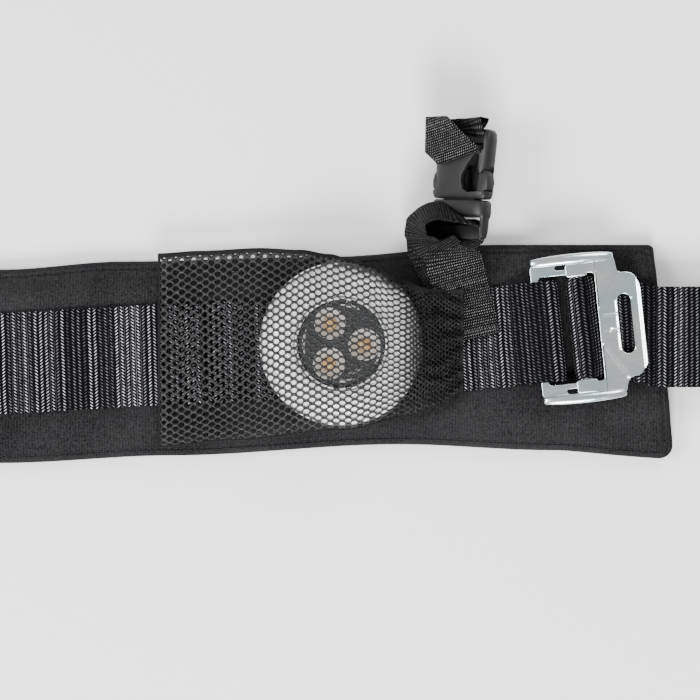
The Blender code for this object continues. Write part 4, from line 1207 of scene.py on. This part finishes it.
def make_rail(side, mats):
    """A rolled rail along one side, highest near its middle, running down into the right corner."""
    rings = []
    count = 56
    for i in range(count + 1):
        t = i / count
        u = -6.9 + 37.2 * t
        crown = max(0.0, math.sin(math.pi * t)) ** 0.45
        high = 1.6 + 3.2 * crown
        outer = 33.2 - 1.7 * (1 - crown)
        inner = 28.9 - 0.5 * crown
        ring = []
        for a in circle(16):
            ca, sa = math.cos(a), math.sin(a)
            v = (outer + inner) / 2 + (outer - inner) / 2 * abs(ca) ** 0.6 * math.copysign(1, ca)
            w = high / 2 + high / 2 * abs(sa) ** 0.75 * math.copysign(1, sa)
            ring.append(adj(u, side * v, w))
        rings.append(ring)
    piece(f"adjuster_rail_{side + 1}", ring_mesh("rail", rings), "adjuster", mats["steel"], 60)


def rod_mesh(name, start, end, radius):
    """A round bar with slightly eased ends."""
    way = (end - start).normalized()
    side = way.cross(Vector((0, 0, 1))).normalized()
    up = side.cross(way)
    length = (end - start).length
    rings = []
    for at, size in ((0, 0.8), (0.4 * MM, 1), (length / 2, 1), (length - 0.4 * MM, 1), (length, 0.8)):
        r = radius * size
        rings.append([start + way * at + (side * math.cos(a) + up * math.sin(a)) * r for a in circle(32)])
    return ring_mesh(name, rings)


# ---------------------------------------------------------------- the clip and its straps


def clip_point(b, a, c):
    return CLIP @ (Vector((b, a, c)) * MM)


def rounded_section(left, right, low, high):
    """A box-like closed curve with soft corners between those limits."""
    power = 2 / 4.5
    ring = []
    for turn in circle(40):
        b, c = [math.copysign(abs(q) ** power, q) for q in (math.cos(turn), math.sin(turn))]
        ring.append(((left + right) / 2 + (right - left) / 2 * b, (low + high) / 2 + (high - low) / 2 * c))
    return ring


def body_bm(stations):
    """A solid through (a, left, right, low, high) stations in the clip's frame."""
    bm = bmesh.new()
    rings = []
    for a, left, right, low, high in stations:
        rings.append([bm.verts.new((b, a, c)) for b, c in rounded_section(left, right, low, high)])
    verts = [v for ring in rings for v in ring]
    for face in bridged(len(rings), len(rings[0])):
        bm.faces.new([verts[k] for k in face])
    bm.faces.new(rings[0])
    bm.faces.new(rings[-1])
    bmesh.ops.recalc_face_normals(bm, faces=bm.faces)
    return bm


def prism_bm(outline, low, high):
    """A closed (b, a) outline extruded from low to high in the clip's frame."""
    bm = bmesh.new()
    base = bm.faces.new([bm.verts.new((x, y, low)) for x, y in outline])
    top = bmesh.ops.extrude_face_region(bm, geom=[base])["geom"]
    verts = [v for v in top if isinstance(v, bmesh.types.BMVert)]
    bmesh.ops.translate(bm, verts=verts, vec=(0, 0, high - low))
    bmesh.ops.recalc_face_normals(bm, faces=bm.faces)
    return bm


def block_bm(low, high):
    outline = [(low[0], low[1]), (high[0], low[1]), (high[0], high[1]), (low[0], high[1])]
    return prism_bm(outline, low[2], high[2])


def carved(name, bm, cuts, soften, body, mat, unions=()):
    """A clip part: a solid with others joined and cuts taken out, and its edges softened."""
    o = bpy.data.objects.new(name + "_work", from_bm(name, bm))
    bpy.context.collection.objects.link(o)
    helpers = []
    for operation, group in (("UNION", unions), ("DIFFERENCE", cuts)):
        for cut in group:
            other = bpy.data.objects.new(name + "_cut", from_bm(name + "_cut", cut))
            bpy.context.collection.objects.link(other)
            m = o.modifiers.new("cut", "BOOLEAN")
            m.object, m.operation, m.solver = other, operation, "EXACT"
            helpers.append(other)
    m = o.modifiers.new("soft", "BEVEL")
    m.width, m.segments, m.limit_method, m.angle_limit = soften, 3, "ANGLE", math.radians(38)
    bpy.context.view_layer.update()
    mesh = bpy.data.meshes.new_from_object(o.evaluated_get(bpy.context.evaluated_depsgraph_get()))
    for helper in [o, *helpers]:
        bpy.data.objects.remove(helper)
    for v in mesh.vertices:
        v.co = clip_point(*v.co)
    mesh.name = name
    return piece(name, mesh, body, mat, 42)


def make_clip(mats):
    make_clip_socket(mats)
    make_clip_plug(mats)
    make_clip_prongs(mats)


def make_clip_socket(mats):
    """The socket, scooped out beside one prong and notched beside the other, with a slot for the pull loop."""
    shell = [(-5.9, -14.2, 14.2, -3.9, 3.9), (-5.3, -15.0, 15.0, -4.3, 4.3), (-3.4, -15.5, 15.5, -4.5, 4.5)]
    shell += [(0, -14.6, 15.2, -4.5, 4.6), (4, -14.0, 15.0, -4.5, 4.7), (9, -14.3, 15.3, -4.5, 4.6)]
    shell += [(15, -15.2, 15.7, -4.4, 4.5), (20, -15.6, 15.9, -4.4, 4.4), (23.0, -15.3, 15.6, -4.2, 4.2)]
    shell += [(24.4, -14.2, 14.6, -3.6, 3.6), (24.9, -12.6, 13.2, -2.7, 2.7)]
    scoop = [(2.4, 4.6), (4.8, 8.8), (8.2, 13.2), (10.2, 14.4), (11.4, 13.4), (11.3, 7.5), (12.2, 5.2)]
    scoop += [(17, 10.6), (20, 10.6), (20, -2.5), (12, -2.7), (6, -3.2), (3.2, -1.6), (2.2, 1.6)]
    notch = [(-20, 5.6), (-14.6, 5.2), (-12.4, 3.8), (-11.8, 1.4), (-12.6, -1.6), (-14.8, -2.6), (-20, -2.6)]
    cuts = [block_bm((-13.4, -8, -2.8), (13.4, 9, 2.8))]
    cuts += [prism_bm(scoop, -2.75, THROUGH), prism_bm(notch, -2.75, THROUGH)]
    cuts.append(block_bm((-13.1, 16.1, -THROUGH), (13.1, 18.7, THROUGH)))
    cuts += both_faces((-13.1, 16), (13.1, 30), 1.6)
    socket = carved("clip_socket_shell", body_bm(shell), cuts, 0.45, "clip_top", mats["plastic"])
    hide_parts("clip_socket")


def make_clip_plug(mats):
    """The plug: a block with the strap's slot at its foot and a tongue that enters the socket."""
    plug = [(-23.6, -12.8, 12.8, -2.2, 2.2), (-23.0, -13.9, 13.9, -3.0, 3.0), (-20, -14.6, 14.6, -3.4, 3.4)]
    plug += [(-14.6, -14.7, 14.7, -3.6, 3.6), (-13.8, -14.9, 14.9, -4.2, 4.2), (-12.4, -15.2, 15.2, -4.5, 4.5)]
    plug += [(-8, -15.0, 15.0, -4.5, 4.5), (-6.9, -14.4, 14.4, -4.2, 4.2), (-6.5, -13.6, 13.6, -3.6, 3.6)]
    cuts = [block_bm((-13.1, -17.8, -THROUGH), (13.1, -13.9, THROUGH))]
    cuts += both_faces((-13.1, -30), (13.1, -15.5), 1.5)
    tongue = [block_bm((-2.6, -7.4, -1.2), (2.6, 7, 1.2)), block_bm((-8.9, -7.4, -2.4), (8.9, -4.6, 2.4))]
    base = carved("clip_plug_body", body_bm(plug), cuts, 0.4, "clip_flap", mats["plastic"], tongue)
    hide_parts("clip_plug")


def make_clip_prongs(mats):
    """The two springy arms, mirror images, each on its own body."""
    arm = [(9.2, -6.1), (12.3, -6.1), (12.6, -3.6), (14.6, -2.3), (15.7, -1.2), (16.0, 1.6), (15.4, 4.4)]
    arm += [(13.6, 7.4), (12.0, 8.6), (10.8, 8.2), (10.2, 4)]
    for name, side in (("left", -1), ("right", 1)):
        shape = prism_bm([(side * b, a) for b, a in arm], -2.5, 2.5)
        prong = carved(f"clip_prong_{name}_arm", shape, [], 0.7, f"prong_{name}", mats["plastic"])
        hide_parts(f"clip_prong_{name}")


def both_faces(low, high, depth):
    """Two cutters over the same (b, a) rectangle, one above depth and one below -depth."""
    spans = ((depth, THROUGH), (-THROUGH, -depth))
    return [block_bm((*low, bottom), (*high, top)) for bottom, top in spans]


def strap_piece(name, frames, width, body, mat, relief=0.07):
    """A small strap through (middle, side, up) stations, with fine ribs along it."""
    points = [f[0] for f in frames]
    line, along = even_line(smooth_line(points, 0.6 * MM), 0.45 * MM)
    where = [0.0]
    for a, b in zip(points, points[1:]):
        where.append(where[-1] + (b - a).length)
    where = np.array(where) / where[-1] * along[-1]
    rings = []
    for p, s in zip(line, along):
        k = min(len(frames) - 2, max(0, int(np.searchsorted(where, s)) - 1))
        t = smooth_step((s - where[k]) / max(1e-9, where[k + 1] - where[k]))
        side = frames[k][1].lerp(frames[k + 1][1], t).normalized()
        up = frames[k][2].lerp(frames[k + 1][2], t).normalized()
        lift = relief * MM * math.sin(2 * math.pi * s / SMALL_RIB)
        rings.append([Vector(p) + side * v + up * h for v, h in section(width, STRAP_T, lift, 10)])
    across = [v for v, _ in section(width, STRAP_T, 0, 10)]
    return piece(name, ring_mesh(name, rings, along, across), body, mat, 60)


def stations(rows, square=True):
    """(centre, side, up) stations from rows of centre x, y, z and side x, y, z, in millimetres."""
    points = [Vector(r[:3]) * MM for r in rows]
    out = []
    for i, row in enumerate(rows):
        way = points[min(i + 1, len(points) - 1)] - points[max(i - 1, 0)]
        side = Vector(row[3:]).normalized()
        up = side.cross(way.normalized()).normalized()
        if square:
            side = way.normalized().cross(up).normalized()
        out.append((points[i], side, up))
    return out


def in_clip(rows):
    """The same from rows of b, a, c in the clip's frame, lying across the clip."""
    side = CLIP.to_3x3() @ Vector((1, 0, 0))
    return [(*(clip_point(*row) / MM), *side) for row in rows]


def make_straps(mats):
    """The sewn base, the free part that loops through the plug, and the pull loop."""
    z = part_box("clip_strap_base")[1].z / MM - STRAP_T / MM / 2
    base = [(104.6, -21.6, z, 1, 0.23, 0), (102.0, -10.5, z, 1, 0.23, 0), (99.2, 1.6, z, 1, 0.24, 0)]
    base.append((98.4, 4.4, z + 0.3, 1, 0.25, 0))
    strap = strap_piece("strap_sewn_base", stations(base), STRAP_W, "belt", mats["strap"])
    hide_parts("clip_strap_base")
    rise = [(99.6, 0.2, z + 1.7, 1, 0.24, 0), (98.3, 4.8, z + 2.2, 1, 0.26, 0)]
    rise += [(96.3, 11.0, z + 3.4, 1, 0.27, 0.03), (95.2, 16.5, z + 3.6, 1, 0.22, 0.15)]
    rise.append((95.6, 20.5, z + 2.4, 1, 0.1, 0.38))
    rise += in_clip([(0, -22.6, -2.9), (0, -19, -2.5), (0, -16.4, -1.6), (0, -15.8, 0.5)])
    flap = strap_piece("strap_flap_under", stations(rise), STRAP_W, None, mats["strap"])
    curl = in_clip([(0, -15.8, 0.9), (-0.3, -15.4, 3.0)])
    curl += [(97.4, 32.6, 22.4, 0.5, -0.3, 0.8), (92.4, 34.6, 23.6, 0.15, -0.4, 0.9)]
    curl += [(86.2, 34.6, 23.8, 0.1, -0.34, 0.93), (81.2, 32.0, 23.4, 0.24, -0.2, 0.95)]
    curl += [(79.2, 27.6, 22.6, 0.3, 0.0, 0.95), (81.8, 22.6, 20.4, 0.4, 0.1, 0.9)]
    curl += [(87.2, 17.6, 16.4, 0.85, 0.2, 0.3), (91.6, 11.8, z + 0.5, 1, 0.26, 0.05)]
    curl += [(94.4, 5.8, z + 0.4, 1, 0.26, 0), (95.6, 1.0, z + 0.5, 1, 0.26, 0)]
    # The curl and the inner ply wear the strap's copy darkened by painted shade.
    fold = strap_piece("strap_flap_fold", stations(curl), STRAP_W, None, mats["strap_shaded"], 0.04)
    ply = in_clip([(0, -17.0, -4.4), (0, -19.0, -5.2)])
    ply += [(98.0, 25.0, 11.6, 0.8, -0.2, 0.3), (92.0, 23.4, 11.4, 0.5, -0.8, 0.1)]
    ply += [(88.4, 19.0, 12.4, 0.9, -0.3, 0), (90.0, 12.0, z - 1.2, 1, 0.2, 0)]
    inner = strap_piece("strap_flap_inner", stations(ply), STRAP_W - 3 * MM, None, mats["strap_shaded"], 0.04)
    for o in (flap, fold, inner):
        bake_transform(o)
    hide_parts("clip_strap_flap")
    make_strap_stitches(mats, z)
    make_pull_loop(mats)


def make_strap_stitches(mats, z):
    """The rows of stitches that hold the strap's base down, at its end and at the pad's edge."""
    way, side = Vector((-0.24, 0.9708, 0)), Vector((0.9708, 0.24, 0))
    hinge = Vector((98.4, 3.2, z + 0.85)) * MM
    half = 11.2 * MM
    rows = []
    for back in (23.6, 22.2, 2.6, -0.4):
        at = hinge - way * back * MM
        rows.append([at - side * half, at + side * half])
    stitch_rows("strap_base_stitches", rows, 1.9 * MM, mats["pale_thread"])


def make_pull_loop(mats):
    """Two plies from the socket's bar: a crumpled one behind, and one that leans left over the face."""
    front = in_clip([(0, 17.3, 0.2), (0, 16.6, 3.0), (0, 14.6, 5.2)])
    front += [(97.6, 58.9, 21.2, 0.735, 0.23, 0.637), (96.6, 60.0, 22.8, 0.735, 0.23, 0.637)]
    front += [(90.4, 66.0, 23.6, 0.745, 0.23, 0.62), (83.4, 72.8, 24.0, 0.76, 0.23, 0.6)]
    front.append((74.6, 81.4, 24.2, 0.77, 0.23, 0.6))
    back = in_clip([(0, 17.3, -0.2), (0.2, 18.6, -2.4), (0.2, 21.5, -1.6)])
    back += [(101.2, 69.6, 17.6, 0.62, -0.16, 0.77), (100.4, 73.4, 19.0, 0.6, -0.1, 0.79)]
    back += [(99.4, 75.6, 17.6, 0.6, 0, 0.8), (99.8, 74.0, 14.4, 0.62, 0, 0.78)]
    back.append((100.6, 69.6, 13.2, 0.62, 0, 0.78))
    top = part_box("clip_pull_loop")[1].y - 2 * MM
    width = STRAP_W - 0.5 * MM
    front = strap_piece("pull_loop_front", stations(front, False), width, "clip_top", mats["strap"])
    # The back ply wears the strap's copy darkened by painted shade.
    back = strap_piece("pull_loop_back", stations(back), width, "clip_top", mats["strap_shaded"])
    for o in (front, back):
        trim(o, (0, top, 0), (0, 1, 0))
    trim(front, (83.2 * MM, 0, 0), (-1, 0, 0))
    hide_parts("clip_pull_loop")


def trim(o, at, away):
    """Cuts off what lies beyond a plane and closes the cut."""
    bm = bmesh.new()
    bm.from_mesh(o.data)
    bm.transform(o.matrix_world)
    geom = [*bm.verts, *bm.edges, *bm.faces]
    cut = bmesh.ops.bisect_plane(bm, geom=geom, plane_co=at, plane_no=away, clear_outer=True)["geom_cut"]
    edges = [e for e in cut if isinstance(e, bmesh.types.BMEdge)]
    bmesh.ops.contextual_create(bm, geom=edges)
    bm.transform(o.matrix_world.inverted())
    bm.to_mesh(o.data)
    bm.free()


# ---------------------------------------------------------------- scene


LIGHT_AIM = Vector((0.05, -0.03, 0))


def make_stage():
    """A white floor just under the belt."""
    mesh = mesh_of("floor", [(-3, -3, 0), (3, -3, 0), (3, 3, 0), (-3, 3, 0)], [(0, 1, 2, 3)])
    mesh.materials.append(floor_material())
    floor = bpy.data.objects.new("studio_floor", mesh)
    floor.location.z = -0.2 * MM
    bpy.context.collection.objects.link(floor)


def area_light(name, at, power):
    """A soft square light, aimed at the middle of what the camera sees."""
    data = bpy.data.lights.new(name, "AREA")
    data.size = 0.8
    data.energy = power
    o = bpy.data.objects.new(name, data)
    o.location = at
    o.rotation_euler = (LIGHT_AIM - Vector(at)).to_track_quat("-Z", "Y").to_euler()
    bpy.context.collection.objects.link(o)


def make_lights():
    world = bpy.data.worlds.new("studio")
    bpy.context.scene.world = world
    world.use_nodes = True
    background = world.node_tree.nodes["Background"]
    background.inputs["Color"].default_value = (1, 1, 1, 1)
    background.inputs["Strength"].default_value = 0.6
    area_light("front", (0.05, -1.3, 1.25), 58)
    area_light("left", (-1.25, -0.05, 1.2), 36)
    area_light("back", (0.75, 1.15, 1.3), 18)


def make_camera():
    """Straight above the lamp's right, a long lens with the belt running off both sides."""
    height, across, sensor = 1.3, 0.3111, 36.0
    data = bpy.data.cameras.new("camera")
    data.sensor_width = sensor
    data.lens = sensor * (height - PLY_ONE) / across
    cam = bpy.data.objects.new("camera", data)
    cam.location = (0.050, -0.0265, height)
    bpy.context.collection.objects.link(cam)
    bpy.context.scene.camera = cam


def main():
    mats = make_materials()
    make_camera()
    make_lights()
    make_stage()
    make_webbing(mats)
    make_pad(mats)
    make_pad_stitches(mats)
    make_pocket(mats)
    make_lamp(mats)
    make_adjuster(mats)
    make_clip(mats)
    make_straps(mats)


main()
